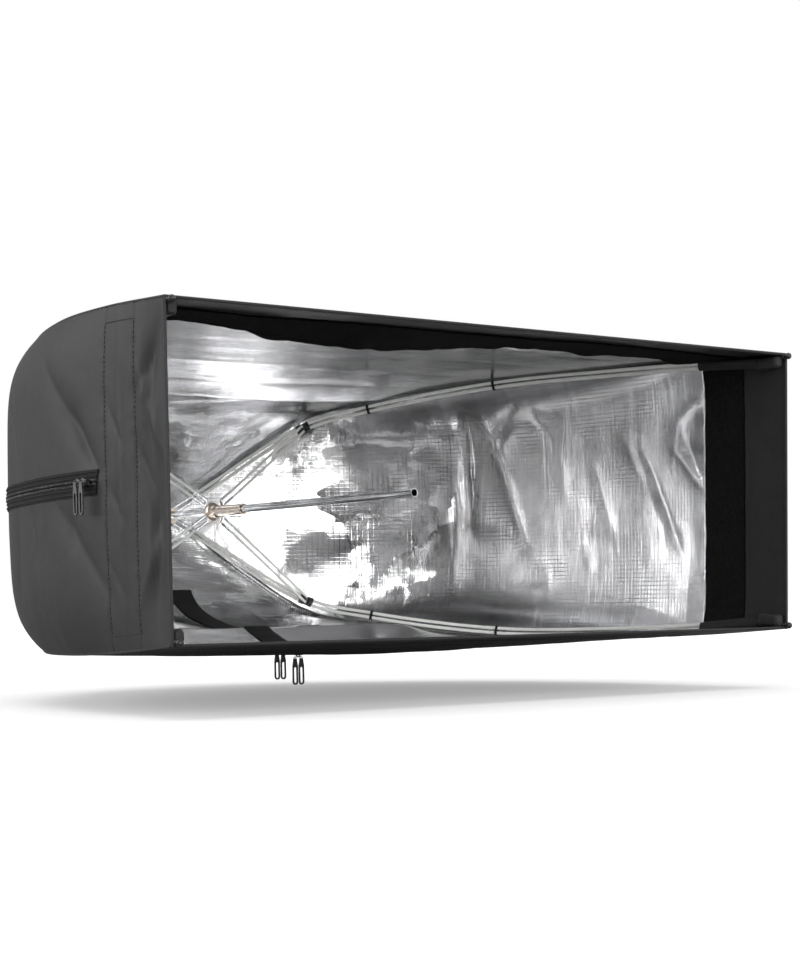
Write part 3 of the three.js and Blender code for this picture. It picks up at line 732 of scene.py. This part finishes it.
def add_sheet(wall, name, u, lengths, stands, materials, inside=False, crumple=0.0,
              lining=None, ghost=0, lead=0.0):
    """A closed sheet on a wall, between two distances out of its outer face, or, if inside, into
    the softbox from its lining. Each row of u holds the columns at one length. Lining is the
    inner material of each row of faces. Ghost columns only shape the normals at the middle line,
    so that two halves meet without a line."""
    lengths = np.broadcast_to(np.asarray(lengths).reshape(len(lengths), -1), u.shape)
    v = share_at_length(lengths)
    if inside:
        outer, inner = (wall.inside(u, v, stand) for stand in stands)
    else:
        outer, inner = wall.faces(u, v, *stands)
    base = wall.base(u, v)
    crumpled = 0.12 + smooth((base[..., 1] - CRUMPLED_FROM[wall.kind] + 30) / 60)
    where = np.stack([wall.cross(base) * MM, lengths * MM, crumple * crumpled], axis=-1)
    normals = [grid_normals(outer, outer - inner), -grid_normals(inner, outer - inner)]
    both, normals, where = (
        np.concatenate([part[:, ghost:].reshape(-1, 3) for part in parts])
        for parts in ((outer, inner), normals, (where, where))
    )
    weights = np.tile(1 - smooth(np.abs(u[:, ghost:].ravel())), 2)

    rows, columns = u[:, ghost:].shape
    count = rows * columns
    index = np.arange(count).reshape(rows, columns)
    quads = np.stack([index[:-1, :-1], index[:-1, 1:], index[1:, 1:], index[1:, :-1]], axis=-1)
    quads = quads.reshape(-1, 4)
    sample = quads[len(quads) // 2]
    corner = both[sample]
    if np.dot(np.cross(corner[1] - corner[0], corner[3] - corner[0]), normals[sample[0]]) < 0:
        quads = quads[:, ::-1]
    border = np.concatenate([index[0, :-1], index[:-1, -1], index[-1, :0:-1], index[:0:-1, 0]])
    after = np.roll(border, -1)
    rim = np.stack([border, after, after + count, border + count], axis=1)
    faces = quads.tolist() + (quads[:, ::-1] + count).tolist() + rim.tolist()
    per_row = np.zeros(rows - 1, int) if lining is None else lining
    inner_kinds = np.repeat(per_row, columns - 1)
    kinds = np.concatenate([np.zeros(len(quads), int), inner_kinds, np.zeros(len(rim), int)])
    made = new_piece(f"{wall.label}_{name}", both, faces, materials, kinds.tolist())
    made.data.normals_split_custom_set_from_vertices(normals.tolist())
    attribute = made.data.attributes.new("cloth", "FLOAT_VECTOR", "POINT")
    attribute.data.foreach_set("vector", where.astype(np.float32).ravel())
    return wall.carry(made, np.maximum(weights - lead * (1 - weights), 0))


def add_cord(wall, name, u, v, stand, radius, material, slot="nylon", sides=5):
    """A cord that lies on a wall along (u, v)."""
    shape = Shape().tube(wall.at(u, v, stand), radius, sides)
    made = shape.piece(f"{wall.label}_{name}", (material,), slot)
    return wall.carry(made, np.repeat(1 - smooth(np.abs(u)), sides))


def add_gore(wall):
    lengths = gore_rows()
    columns = with_ghost(np.linspace(0, 1, 37 if wall.is_side else 75))
    lining = np.where(lengths[:-1] < STITCH_DEPTHS[1] + 1, 2, 1)
    made = add_sheet(
        wall, "cloth", np.tile(columns, (len(lengths), 1)), lengths, (0.0, -CLOTH),
        (NYLON, SILVER, SATIN), crumple=1.0, lining=lining, ghost=1,
    )
    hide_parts(f"side_panel_{wall.quarter}" if wall.is_side else f"{wall.kind}_panel")


def add_loop_band(wall):
    """The band of loop tape inside, with a rear edge that waves where it hangs from the top."""
    first, last = STITCH_DEPTHS
    rows = gore_rows(first + 0.6, last - 0.6, 5)
    u = with_ghost(np.linspace(0, BAND_END, 43 if wall.is_side else 111))
    x = u * HALF_WIDTH
    ripple = BAND_WAVES[wall.kind] * (np.sin(x / 21) + 0.6 * np.sin(x / 9.3 + 1) + 0.35)
    share = ((rows - first) / (last - first))[:, None]
    stretch = share**2 * ripple
    sag = 0.5 * np.abs(stretch) + 0.4
    if wall.kind == "top":
        aside, half_width, drop = BAND_SAG
        away = (wall.mirror_x * x + aside) / half_width
        sag = sag + share**1.5 * (drop * np.exp(-(away**2)) + 1.5)
    made = add_sheet(
        wall, "loop_band", np.tile(u, (len(rows), 1)), rows[:, None] + stretch, (sag, sag + 1.5),
        (LOOP,), inside=True, ghost=1, lead=BAND_LEAD,
    )
    node = f"side_loop_band_{wall.quarter}" if wall.is_side else f"{wall.kind}_loop_band"
    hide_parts(node)


def add_hem(wall):
    """The rolled edge of the front opening."""
    u = np.linspace(0, 1, 40 if wall.is_side else 90)
    add_cord(wall, "front_hem", u, np.full(u.shape, 0.0008), -0.6, HEM_RADIUS, SATIN, sides=10)


def add_stitches(wall):
    """Thread that dips in and out of the cloth round the edges of the loop band."""
    far = 0.9 if wall.is_side else BAND_END

    def dips(along):
        return 0.6 * np.cos(along * 2 * math.pi / STITCH) - 0.05

    for label, stitched in zip(("front", "rear"), STITCH_DEPTHS):
        u = np.linspace(0, far, int(wall.width / 0.9))
        v = np.full(u.shape, float(share_at_length(stitched)))
        add_cord(wall, f"{label}_stitches", u, v, dips(u * wall.width), 0.5, BLACK_THREAD)
    if wall.is_side:
        along = np.arange(*STITCH_DEPTHS, 0.7)
        u, v = np.full(along.shape, far), share_at_length(along)
        add_cord(wall, "end_stitches", u, v, dips(along), 0.42, BLACK_THREAD)


def add_seam(quarter, top, side):
    """The seam allowance inside each corner seam, overlocked with black thread, and its welt."""
    lengths = np.arange(3, SEAM_LENGTHS[-1] - 16, 1.0)
    v = share_at_length(lengths)
    u = np.ones(v.shape)
    line = top.base(u, v)
    inwards = unit(-(top.normal(u - 0.01, v) + side.normal(u - 0.01, v)))
    aside = np.cross(unit(np.gradient(line, axis=0)), inwards)
    corners = ((0.2, -0.45), (5.4, -0.35), (5.4, 0.35), (0.2, 0.45))
    rings = [
        [point + deep * d + wide * w for d, w in corners]
        for point, deep, wide in zip(line, inwards, aside)
    ]
    fine = np.arange(lengths[0], lengths[-1], OVERLOCK / 7)
    centre, deep, wide = (
        np.stack([np.interp(fine, lengths, values[:, k]) for k in range(3)], axis=1)
        for values in (line, inwards, aside)
    )
    phase = fine * 2 * math.pi / OVERLOCK
    helix = centre + deep * (3.9 + 2.2 * np.cos(phase))[:, None]
    helix = helix + wide * (0.95 * np.sin(phase))[:, None]
    flap = Shape().rings(rings).tube(helix, 0.48, 5, material=1)
    welt = Shape().tube(line + inwards * 0.5, 0.95, 8)
    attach(flap.piece(f"seam_{quarter}", (SILVER, BLACK_THREAD), "nylon"), f"rib_{quarter}")
    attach(welt.piece(f"seam_welt_{quarter}", (SATIN,), "nylon"), f"rib_{quarter}")


def add_collar():
    """The gathered patch that the back disc clamps over the rear ends of the gores."""
    across = np.linspace(0, 1, 9)
    corners = ("bottom_right", "top_right", "top_left", "bottom_left", "bottom_right")
    order = []
    for k, is_side in enumerate((True, False, True, False)):
        order.append((Wall(corners[k], is_side), across[:0:-1]))
        order.append((Wall(corners[k + 1], is_side), across[:-1]))

    def ring(share, stand):
        return np.concatenate([wall.at(u, np.full(u.shape, share), stand) for wall, u in order])

    def gathered(radius, depth):
        angles = np.arctan2(*ring(1.0, 0)[:, [2, 0]].T)
        pleated = radius * (1 + 0.05 * np.cos(12 * angles))
        x, z = pleated * np.cos(angles), pleated * np.sin(angles)
        return np.stack([x, np.full(angles.shape, float(depth)), z], axis=1)

    shares = np.linspace(0.955, 0.998, 8)
    rings = [ring(share, 1.7) for share in shares] + [gathered(11, 591.2), gathered(7, 592.3)]
    rings += [gathered(6.4, 591.6), gathered(10.2, 590.5)] + [ring(s, 1.0) for s in shares[::-1]]
    shape = Shape().rings(rings, closed=True)
    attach(shape.piece("gathered_collar", (SATIN,), "nylon", crease=60), "root")


# ---- Frame: ribs, stretchers, crown and runner ------------------------------------------------
joints = {joint["name"]: joint for joint in frame["joints"]}
RIB_PIVOT, STRETCHER_PIVOT = (
    from_frame(joints[f"{part}_fold_top_right"]["pos_m"]) for part in ("rib", "stretcher")
)
FOLD = math.radians(21)  # the ribs swing in planes at this angle to the XY plane
ACROSS = np.array([-math.sin(FOLD), 0, math.cos(FOLD)])
RUNNER_END = np.array(
    [RUNNER_RING * math.cos(RUNNER_ANGLE), RUNNER_DEPTH, RUNNER_RING * math.sin(RUNNER_ANGLE)]
)
RIB_BEND = np.array([132.0, 510.0, 93.0])
RIB_LINE = StationCurve(
    RIB_PIVOT + unit(RIB_BEND - RIB_PIVOT) * RIB_FERRULE, RIB_BEND, (176, 450, 110),
    (255, 335, 128), (299, 205, 129), (316, 100, 125.5), (321.5, 5, 118.5),
)
RIB_HALF_WIDTH = RIB_ROD_OFFSET + RIB_ROD_RADIUS  # of a pair of rods


def pair_direction(tangent):
    """From one rod of a pair to the other, where the pair runs along tangent."""
    return unit(ACROSS - tangent * np.dot(ACROSS, tangent))


def rib_axes(share):
    """Along the rib, from one of its rods to the other, and square to both."""
    tangent = unit(RIB_LINE.at(share + 1e-3) - RIB_LINE.at(share - 1e-3))
    pair = pair_direction(tangent)
    return tangent, pair, np.cross(tangent, pair)


def rib_rods():
    shape = Shape()
    shares = np.linspace(0, 1, 91)
    pairs = np.array([rib_axes(share)[1] for share in shares])
    for side in (-1, 1):
        shape.tube(RIB_LINE.at(shares) + side * RIB_ROD_OFFSET * pairs, RIB_ROD_RADIUS, 16)
    return shape


def ferrule(pivot, towards, length, offset):
    """Two crimped tubes side by side, joined by an eye across them at the pivot."""
    direction = unit(towards - pivot)
    pair = pair_direction(direction)
    shape = Shape()
    stations = np.linspace(0, length, 45)
    crimps = sum(np.exp(-(((stations - at * length) / 0.7) ** 2)) for at in (0.45, 0.6, 0.86))
    radii = 2.1 - 0.28 * crimps
    radii[0], radii[-1] = 1.5, 1.95
    for side in (-1, 1):
        shape.tube(pivot + side * offset * pair + stations[:, None] * direction, radii, 20)
    half = offset + 1.6
    ends = np.linspace(-half, half, 13)
    swell = 1.8 - 0.35 * (np.abs(ends) > half - 0.4)
    return shape.tube(pivot + ends[:, None] * ACROSS, swell, 20)


def bracket():
    """A pressed clamp round both rods, with a lug for the stretcher and four rivets."""
    tangent, pair, high = rib_axes(1 / 6)
    inward = unit(np.cross(tangent, ACROSS))
    wide, tall = RIB_HALF_WIDTH + 0.9, RIB_ROD_RADIUS + 1.1
    half = ((-7.5, 0.75), (-7.2, 0.98), (-3, 1.0), (-2.4, 0.9))
    stations = half + tuple((-at, swell) for at, swell in half[::-1])
    shape = Shape().rings([
        rounded_ring(RIB_BEND + tangent * at, pair, high, wide * swell, tall * swell)
        for at, swell in stations
    ])
    shape.rings([
        rounded_ring(RIB_BEND + inward * at, tangent, ACROSS, 2.3 * grow, 0.62, 3.0, 20)
        for at, grow in ((-0.5, 1.3), (1.5, 1.0), (4.5, 1.0), (6.8, 0.7), (7.3, 0.3))
    ])
    for side in (-1, 1):
        for at in (-5.2, 5.2):
            head = RIB_BEND + tangent * at + high * side * tall * 0.9
            path = head[None, :] + np.array([0, 0.5, 0.8])[:, None] * high * side
            shape.tube(path, (1.3, 1.1, 0.5), 14)
    return shape.tube(STRETCHER_PIVOT + np.linspace(-1.5, 1.5, 4)[:, None] * ACROSS, 1.9, 16)


def stretcher_rods():
    direction = unit(RUNNER_END - STRETCHER_PIVOT)
    end = RUNNER_END - direction * (STRETCHER_FERRULE + 0.3)
    shape = Shape()
    radii = np.full(24, STRETCHER_ROD_RADIUS)
    radii[0] = 1.1
    for side in (-1, 1):
        shift = pair_direction(direction) * side * STRETCHER_ROD_OFFSET
        shape.tube(np.linspace(STRETCHER_PIVOT + shift, end + shift, 24), radii, 16)
    half = STRETCHER_ROD_OFFSET + 1
    return shape.tube(STRETCHER_PIVOT + np.linspace(-half, half, 5)[:, None] * ACROSS, 0.95, 14)


def tie(share):
    """A short tape tied round both rods, with its two ends sticking out."""
    centre = RIB_LINE.at(share)
    tangent, pair, high = rib_axes(share)
    out = high if np.dot(high, centre - (0, 300, 0)) > 0 else -high
    shape = Shape()
    angles = np.linspace(0, 2 * math.pi, 41)
    for at, tilt in ((-0.9, 0.25), (0.9, -0.2)):
        loop = centre + tangent * (at + tilt * np.sin(angles))[:, None]
        loop = loop + pair * ((RIB_HALF_WIDTH + 0.6) * np.cos(angles))[:, None]
        shape.tube(loop + high * ((RIB_ROD_RADIUS + 0.6) * np.sin(angles))[:, None], 0.75, 8)
    knot = centre + out * (RIB_ROD_RADIUS + 1.5)
    swell = (0.7, 1.4, 1.7, 1.6, 1.3, 0.6)
    shape.tube(knot + np.linspace(-1.6, 1.6, 6)[:, None] * tangent, swell, 12)
    run = np.linspace(0, 1, 12)[:, None]
    for side in (-1, 1):
        path = knot + run * 9 * (0.5 * out + 0.75 * side * tangent - 0.35 * pair)
        path = path + pair * side * 1.6 * np.sin(run * 3.4)
        shape.tube(path, np.linspace(0.85, 0.6, 12), 8)
    return shape


def corner_pocket():
    """A sewn sleeve over the end of the rib, open at the back."""
    def ring(y, half, count=32):
        lean = 0.05 * (25 - y)
        centre = np.array([320.9 + lean, y, 118.6 + lean])
        return rounded_ring(centre, X_AXIS, Z_AXIS, 0.85 * half, half, 3.2, count)

    outside = ((1.6, 2.4), (1.9, 4.2), (3.4, 5.2), (8, 5.4), (14, 5.3), (20, 5.5), (24.6, 5.6))
    mouth = ((24.9, 5.3), (24.4, 4.9), (18, 4.8), (17.8, 1.0))
    shape = Shape().rings([ring(y, half) for y, half in outside + mouth])
    for y, half in ((4.4, 5.4), (21.8, 5.65)):
        loop = ring(y, half, 64)
        shape.tube(np.vstack([loop, loop[:1]]), 0.32, 5, material=1)
    return shape


def rib_sleeve():
    """The black sleeve that holds the front of the rib to the lip and the loop band."""
    rings = []
    for k, share in enumerate(np.linspace(5 / 6 + 0.003, 1 - 0.03, 26)):
        _, pair, high = rib_axes(share)
        swell = 1 - 0.06 * math.sin(k * 1.7) ** 2 - (0.12 if k in (0, 25) else 0)
        wide, tall = (RIB_HALF_WIDTH + 0.7) * swell, (RIB_ROD_RADIUS + 0.8) * swell
        rings.append(rounded_ring(RIB_LINE.at(share), pair, high, wide, tall, 2.6, 20))
    return Shape().rings(rings)


def rib_tip():
    """The ball and collar at the rib's front end."""
    front = 1.1
    turns = np.radians(np.arange(12, 150, 12))
    ball = [(3 * math.sin(t), front - 6.2 - 3 * math.cos(t)) for t in turns]
    neck = ((1.5, 3.4), (1.5, 2.0), (2.3, 1.7), (2.3, 0.6), (1.5, 0.3), (1.5, 0), (0, 0))
    profile = [(0, front - 9.2)] + ball + [(radius, front - back) for radius, back in neck]
    return Shape().turned(profile, 32, closed=False, centre=(326.4, 124.2))


def add_frame_quarter(quarter):
    """The rib, the stretcher and their fittings, made for the top right and mirrored."""
    mirror = (QUARTERS[quarter][0], 1, QUARTERS[quarter][1])
    rib_eye = ferrule(RIB_PIVOT, RIB_BEND, RIB_FERRULE, RIB_ROD_OFFSET)
    runner_eye = ferrule(RUNNER_END, STRETCHER_PIVOT, STRETCHER_FERRULE, STRETCHER_ROD_OFFSET)
    for shape, name, body, material, slot, node in (
        (rib_rods(), "fibreglass_rib", "rib", FIBREGLASS, "fibreglass", "rib_rods"),
        (rib_eye, "rib_eye", "rib", CHROME, "chrome", "rib_ferrule"),
        (bracket(), "pressed_bracket", "rib", ENAMEL, "black_metal", "rib_bracket"),
        (rib_tip(), "ball_tip", "rib", ENAMEL, "chrome", "rib_tip"),
        (corner_pocket(), "sewn_pocket", "rib", SATIN, "nylon", "corner_pocket"),
        (rib_sleeve(), "rib_sleeve", "rib", SATIN, "nylon", ""),
        (tie(2 / 6), "rear_tie", "rib", TIE, "nylon", ""),
        (tie(3 / 6), "middle_tie", "rib", TIE, "nylon", ""),
        (stretcher_rods(), "fibreglass_stretcher", "stretcher", FIBREGLASS, "fibreglass",
         "stretcher_rods"),
        (runner_eye, "stretcher_eye", "stretcher", CHROME, "chrome", "stretcher_ferrule"),
    ):
        mirrored = shape.moved(lambda v: np.multiply(v, mirror), math.prod(mirror))
        made = mirrored.piece(f"{name}_{quarter}", (material, BLACK_THREAD), slot)
        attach(made, f"{body}_{quarter}")
        if node:
            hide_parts(f"{node}_{quarter}")


def add_hub_piece(shape, name, body, materials, slot, node):
    made = shape.piece(name, materials, slot, crease=30)
    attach(made, body)
    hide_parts(node)


def add_shaft_and_hubs():
    shaft = ((3.2, 139.3), (3.45, 139), (3.75, 139), (4, 139.35), (4, 300), (4, 450), (4, 600),
             (3.2, 600), (3.2, 179))
    crown = ((4.4, 567), (8.0, 567), (8.5, 567.4, 1.2), (8.5, 569.1, 1.2), (8.1, 569.5),
             (6.4, 569.9), (6.4, 580.1), (10.4, 580.5), (11, 581, 1.5), (11, 582.5, 1.5),
             (10.5, 583), (4.4, 583))
    disc = ((4.4, 592.5), (19.6, 592.5), (20, 592.9), (20, 593.7), (17.3, 594.8), (10, 595),
            (4.4, 595))
    cap = ((0, 600.4), (4.4, 600.4), (4.4, 595.4), (7.2, 595.4), (7.5, 595.8), (7.5, 598),
           (7.1, 598.3), (7.1, 599.2), (7.5, 599.5), (7.5, 603.6), (7.2, 604.4), (6.2, 605.8),
           (5.7, 606), (0, 606))
    runner = ((4.4, 423.5), (4.9, 423), (5.7, 423), (6.0, 423.4), (6.0, 425.6), (5.7, 426.2),
              (5.4, 426.6), (5.4, 444), (5.15, 444.4), (5.15, 445.6), (5.4, 446), (5.4, 471.6),
              (6.5, 472.7), (6.8, 473.2), (6.8, 482.2), (9.0, 482.6), (9.5, 483.1, 1.4),
              (9.5, 486, 1.4), (9.0, 486.5), (4.4, 486.5))
    bore = ((4.38, 430), (4.38, 440), (4.1, 440), (4.1, 430))
    for profile, segments, name, body, materials, slot, node in (
        (shaft, 64, "chrome_shaft", "root", (CHROME,), "chrome", "shaft"),
        (crown, 128, "plated_crown", "root", (CHAMPAGNE,), "champagne", "crown"),
        (disc, 72, "back_disc", "root", (PLASTIC,), "black_plastic", "back_washer"),
        (cap, 64, "rear_cap", "root", (PLASTIC,), "black_plastic", "end_cap"),
        (runner, 128, "plated_runner", "runner", (CHAMPAGNE, BORE_SHADE), "champagne", "runner"),
    ):
        shape = Shape().turned(profile, segments, closed=name != "rear_cap")
        # the runner's bore gets a thin ring of painted shade
        if BORE_SHADE in materials:
            shape.turned(bore, 48, 1)
        add_hub_piece(shape, name, body, materials, slot, node)
    leaf = Shape().rings([
        rounded_ring(np.array([0, y, z]), X_AXIS, Z_AXIS, half_width, half_height, 3.0, 24)
        for y, z, half_width, half_height in (
            (428.2, -7.2, 1.2, 0.3), (428.8, -7.3, 1.9, 0.42), (434, -7.5, 2.2, 0.45),
            (441, -7.1, 2.2, 0.45), (445, -6.9, 2.1, 0.6), (447.4, -6.6, 2.0, 0.8),
            (447.9, -6.5, 1.4, 0.5),
        )
    ])
    add_hub_piece(leaf, "catch_leaf", "runner_catch", (ENAMEL,), "black_metal", "runner_catch")


# ---- Zips ------------------------------------------------------------------------------------
def add_zip_half(wall, zip_name, node):
    """One tape of a zip, with its piped edges, its half of the coil and the tape inside."""
    start, end = np.interp((ZIP_STARTS[zip_name], ZIP_END), SHARES, SEAM_LENGTHS)
    lengths = gore_rows(start, end, 4.0)
    edge = wall.edge(share_at_length(lengths))[:, None]
    for label, low, high, stands in (
        ("zip_tape", 0.2, ZIP_TAPE, (1.0, 0.2)), ("zip_lining", 0.0, ZIP_LINING, (0.3, 0.9))
    ):
        inside = label == "zip_lining"
        columns = np.linspace(low, high, 8)[None, :] / edge
        made = add_sheet(wall, label, columns, lengths, stands, (ZIP_CLOTH,), inside)
        if not inside:
            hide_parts(node)
    shares = share_at_length(np.arange(start, end, 1.6))
    for kind, distance, radius in (("outer_piping", 8.2, 0.6), ("inner_piping", 4.6, 0.55)):
        u = distance / wall.edge(shares)
        add_cord(wall, f"zip_{kind}", u, shares, 1.2, radius, ZIP_CLOTH, "zip_tape", 8)
    turns = np.arange(start, end, COIL_PITCH / 8)
    shares = share_at_length(turns)
    phase = turns * 2 * math.pi / COIL_PITCH
    u = (1.25 + 0.95 * np.cos(phase)) / wall.edge(shares)
    add_cord(wall, "zip_coil", u, shares, 1.35 + 0.45 * np.sin(phase), 0.36, ZIP_COIL, "zip_tape")


def slider():
    """A zip slider lying on the XY plane and pointing along Y, with its bail."""
    stations = ((-4.3, 2.0), (-4.1, 2.3), (-2.5, 2.5), (0, 2.9), (2.2, 3.9), (3.6, 3.8),
                (4.2, 3.0), (4.3, 2.4))
    shape = Shape().rings([
        rounded_ring(np.array([0, y, 1.5]), X_AXIS, Z_AXIS, half_width, 1.5, 5.0, 32)
        for y, half_width in stations
    ])
    t = np.linspace(0, math.pi, 15)
    bridge = np.stack([0 * t, 2.7 * np.cos(t), 2.7 + 1.75 * np.sin(t) ** 0.7], axis=1)
    return shape.tube(bridge, 0.7, 10)


def pull():
    """A long slotted pull that hangs down from the origin in the XZ plane."""
    length, half, slot_half = 26, 3.1, 1.45
    side = [(half, -7.5), (2.2, -2.5), (1.9, -0.2)]
    bottom, low = (arc((0, -length + half), radius, 180, 360, 15) for radius in (half, slot_half))
    high = arc((0, -10.2), slot_half, 0, 180, 6)
    outer = [(-x, z) for x, z in side[::-1]] + bottom + side
    inner = high[3:] + low + high[:3]
    sheet = ((outer, -0.65), (outer, 0.65), (inner, 0.65), (inner, -0.65))
    shape = Shape().rings([[(x, y, z) for x, z in line] for line, y in sheet], closed=True)
    t = np.linspace(0, 2 * math.pi, 17)
    return shape.tube(np.stack([1.3 * np.cos(t), 0 * t, 0.1 + 1.2 * np.sin(t)], axis=1), 0.5, 8)


def cloth_height(depth):
    """Where the zip's tape lies under the middle of the bottom gore."""
    shares = np.linspace(0.3, 0.9, 241)
    share = np.interp(depth, BOTTOM_LINE.at(shares)[:, 1], shares)
    points = Wall("bottom_right", False).at(np.array([0.005]), np.array([share]), 1.0)
    return float(points[0, 2])


def add_enamelled(shape, seat, turns, name, body, bevel):
    """Turns a shape, sets it on its seat, and puts it in the place of a CAD body's node."""
    matrix = Matrix.Translation(seat)
    for turn in turns:
        matrix = matrix @ Euler(turn).to_matrix().to_4x4()
    placed = shape.moved(lambda v: matrix @ Vector(v))
    made = placed.piece(name, (ENAMEL,), "black_metal", bevel)
    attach(made, body)
    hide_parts(body)


def add_sliders():
    """Sliders and pulls, each where the frame has it, but seated on the visible zips."""
    for body, shift_x, lean in (
        ("side_zip_front", -0.8, (0, 0, -0.07)), ("side_zip_rear", -1.2, (0, 0, -0.07)),
        ("bottom_zip_front", 0, (0, 0, 0)), ("bottom_zip_rear", 0, (0.15, 0, 0)),
    ):
        _, high, middle = node_box(f"{body}_slider")
        if shift_x:
            shift = Vector((shift_x, 0, 0))
            seat = Vector((high[0] - 0.3, middle[1], middle[2])) + shift
            turn, sides, pull_turn = (0, -math.pi / 2, 0), ("",), (0, 0, math.pi / 2)
        else:
            seat = Vector((middle[0], middle[1], cloth_height(middle[1])))
            shift = Vector((0, 0, seat.z - high[2]))
            turn, sides, pull_turn = (math.pi, 0, 0), ("_left", "_right"), (0, 0, 0)
        add_enamelled(
            slider(), seat, (lean, turn), f"{body}_slider_body", f"{body}_slider", 0.25
        )
        for side in sides:
            name = f"{body}_pull{side}"
            _, high, middle = node_box(name)
            seat = Vector((middle[0], middle[1], high[2])) + shift
            add_enamelled(pull(), seat, (pull_turn,), f"{name}_tab", name, 0.3)


# ---- Stage -----------------------------------------------------------------------------------
# Bright panels round the studio: direction, cosines of the edge's outside and inside, strength.
PANELS = (
    ((0.62, -0.78, 0.02), 0.965, 0.985, 1.5), ((-0.10, -0.95, 0.30), 0.93, 0.97, 5.0),
    ((-0.62, -0.78, 0.10), 0.974, 0.986, 4.0), ((-0.62, 0.72, 0.35), 0.90, 0.97, 2.6),
    ((-0.95, -0.1, 0.25), 0.90, 0.97, 1.2), ((1.0, 0.2, 0.3), 0.80, 0.95, 0.8),
    ((0.0, 0.1, 1.0), 0.75, 0.95, 1.4),
)
DIM = 0.33  # the studio between the panels


def add_floor():
    mesh = bpy.data.meshes.new("studio_floor")
    ring = [
        (FLOOR_RADIUS * math.cos(t), FLOOR_RADIUS * math.sin(t), FLOOR_HEIGHT)
        for t in turn_angles(96)
    ]
    mesh.from_pydata(ring, [], [tuple(range(len(ring)))])
    mesh.materials.append(stage_finish())
    floor = bpy.data.objects.new("studio_floor", mesh)
    bpy.context.scene.collection.objects.link(floor)


def add_surroundings():
    """A white backdrop for the camera, and a dim studio with bright panels for the reflections."""
    world = bpy.data.worlds.new("studio")
    world.use_nodes = True
    nodes = Nodes(world.node_tree)
    direction = nodes.node("TexCoord").outputs["Generated"]
    total = DIM
    for aim, outside, inside, strength in PANELS:
        inputs = {0: direction, 1: Vector(aim).normalized()}
        towards = nodes.node("VectorMath", inputs, operation="DOT_PRODUCT").outputs["Value"]
        panel = nodes.span(
            towards, outside, inside, 0, strength, interpolation_type="SMOOTHSTEP"
        )
        total = nodes.math("ADD", panel, total)
    seen = nodes.node("LightPath").outputs["Is Camera Ray"]
    chosen = nodes.node("Mix", {0: seen, 2: total, 3: 1.0}, data_type="FLOAT").outputs[0]
    nodes.fill(nodes.tree.nodes["Background"], {"Color": (1, 1, 1), "Strength": chosen})
    bpy.context.scene.world = world
    bpy.context.scene.view_settings.view_transform = "Standard"


def add_camera():
    """The photographer's place, in millimetres from the front opening, and the camera's turns."""
    azimuth, pitch, roll = 0.632, -0.0636, -0.0164
    data = bpy.data.cameras.new("camera")
    data.lens = 70
    data.shift_x, data.shift_y = 0.0166, 0.2419
    camera = bpy.data.objects.new("camera", data)
    camera.location = in_frame((-1026, -1210.7, -98))
    turn = Euler((math.pi / 2 + pitch, 0, -azimuth)).to_matrix() @ Euler((0, 0, roll)).to_matrix()
    camera.rotation_euler = turn.to_euler()
    bpy.context.scene.collection.objects.link(camera)
    bpy.context.scene.camera = camera


# ---- Assembly --------------------------------------------------------------------------------
for quarter in QUARTERS:
    flat, side = Wall(quarter, False), Wall(quarter, True)
    for wall in (flat, side):
        add_gore(wall)
        add_loop_band(wall)
        add_hem(wall)
        add_stitches(wall)
    add_seam(quarter, flat, side)
    add_frame_quarter(quarter)
    if flat.kind == "bottom":
        add_zip_half(flat, "bottom", "bottom_zip_tape")
    if side.kind == "left":
        add_zip_half(side, "side", f"side_zip_tape_{'upper' if flat.kind == 'top' else 'lower'}")
add_collar()
add_shaft_and_hubs()
add_sliders()
add_floor()
add_surroundings()
add_camera()
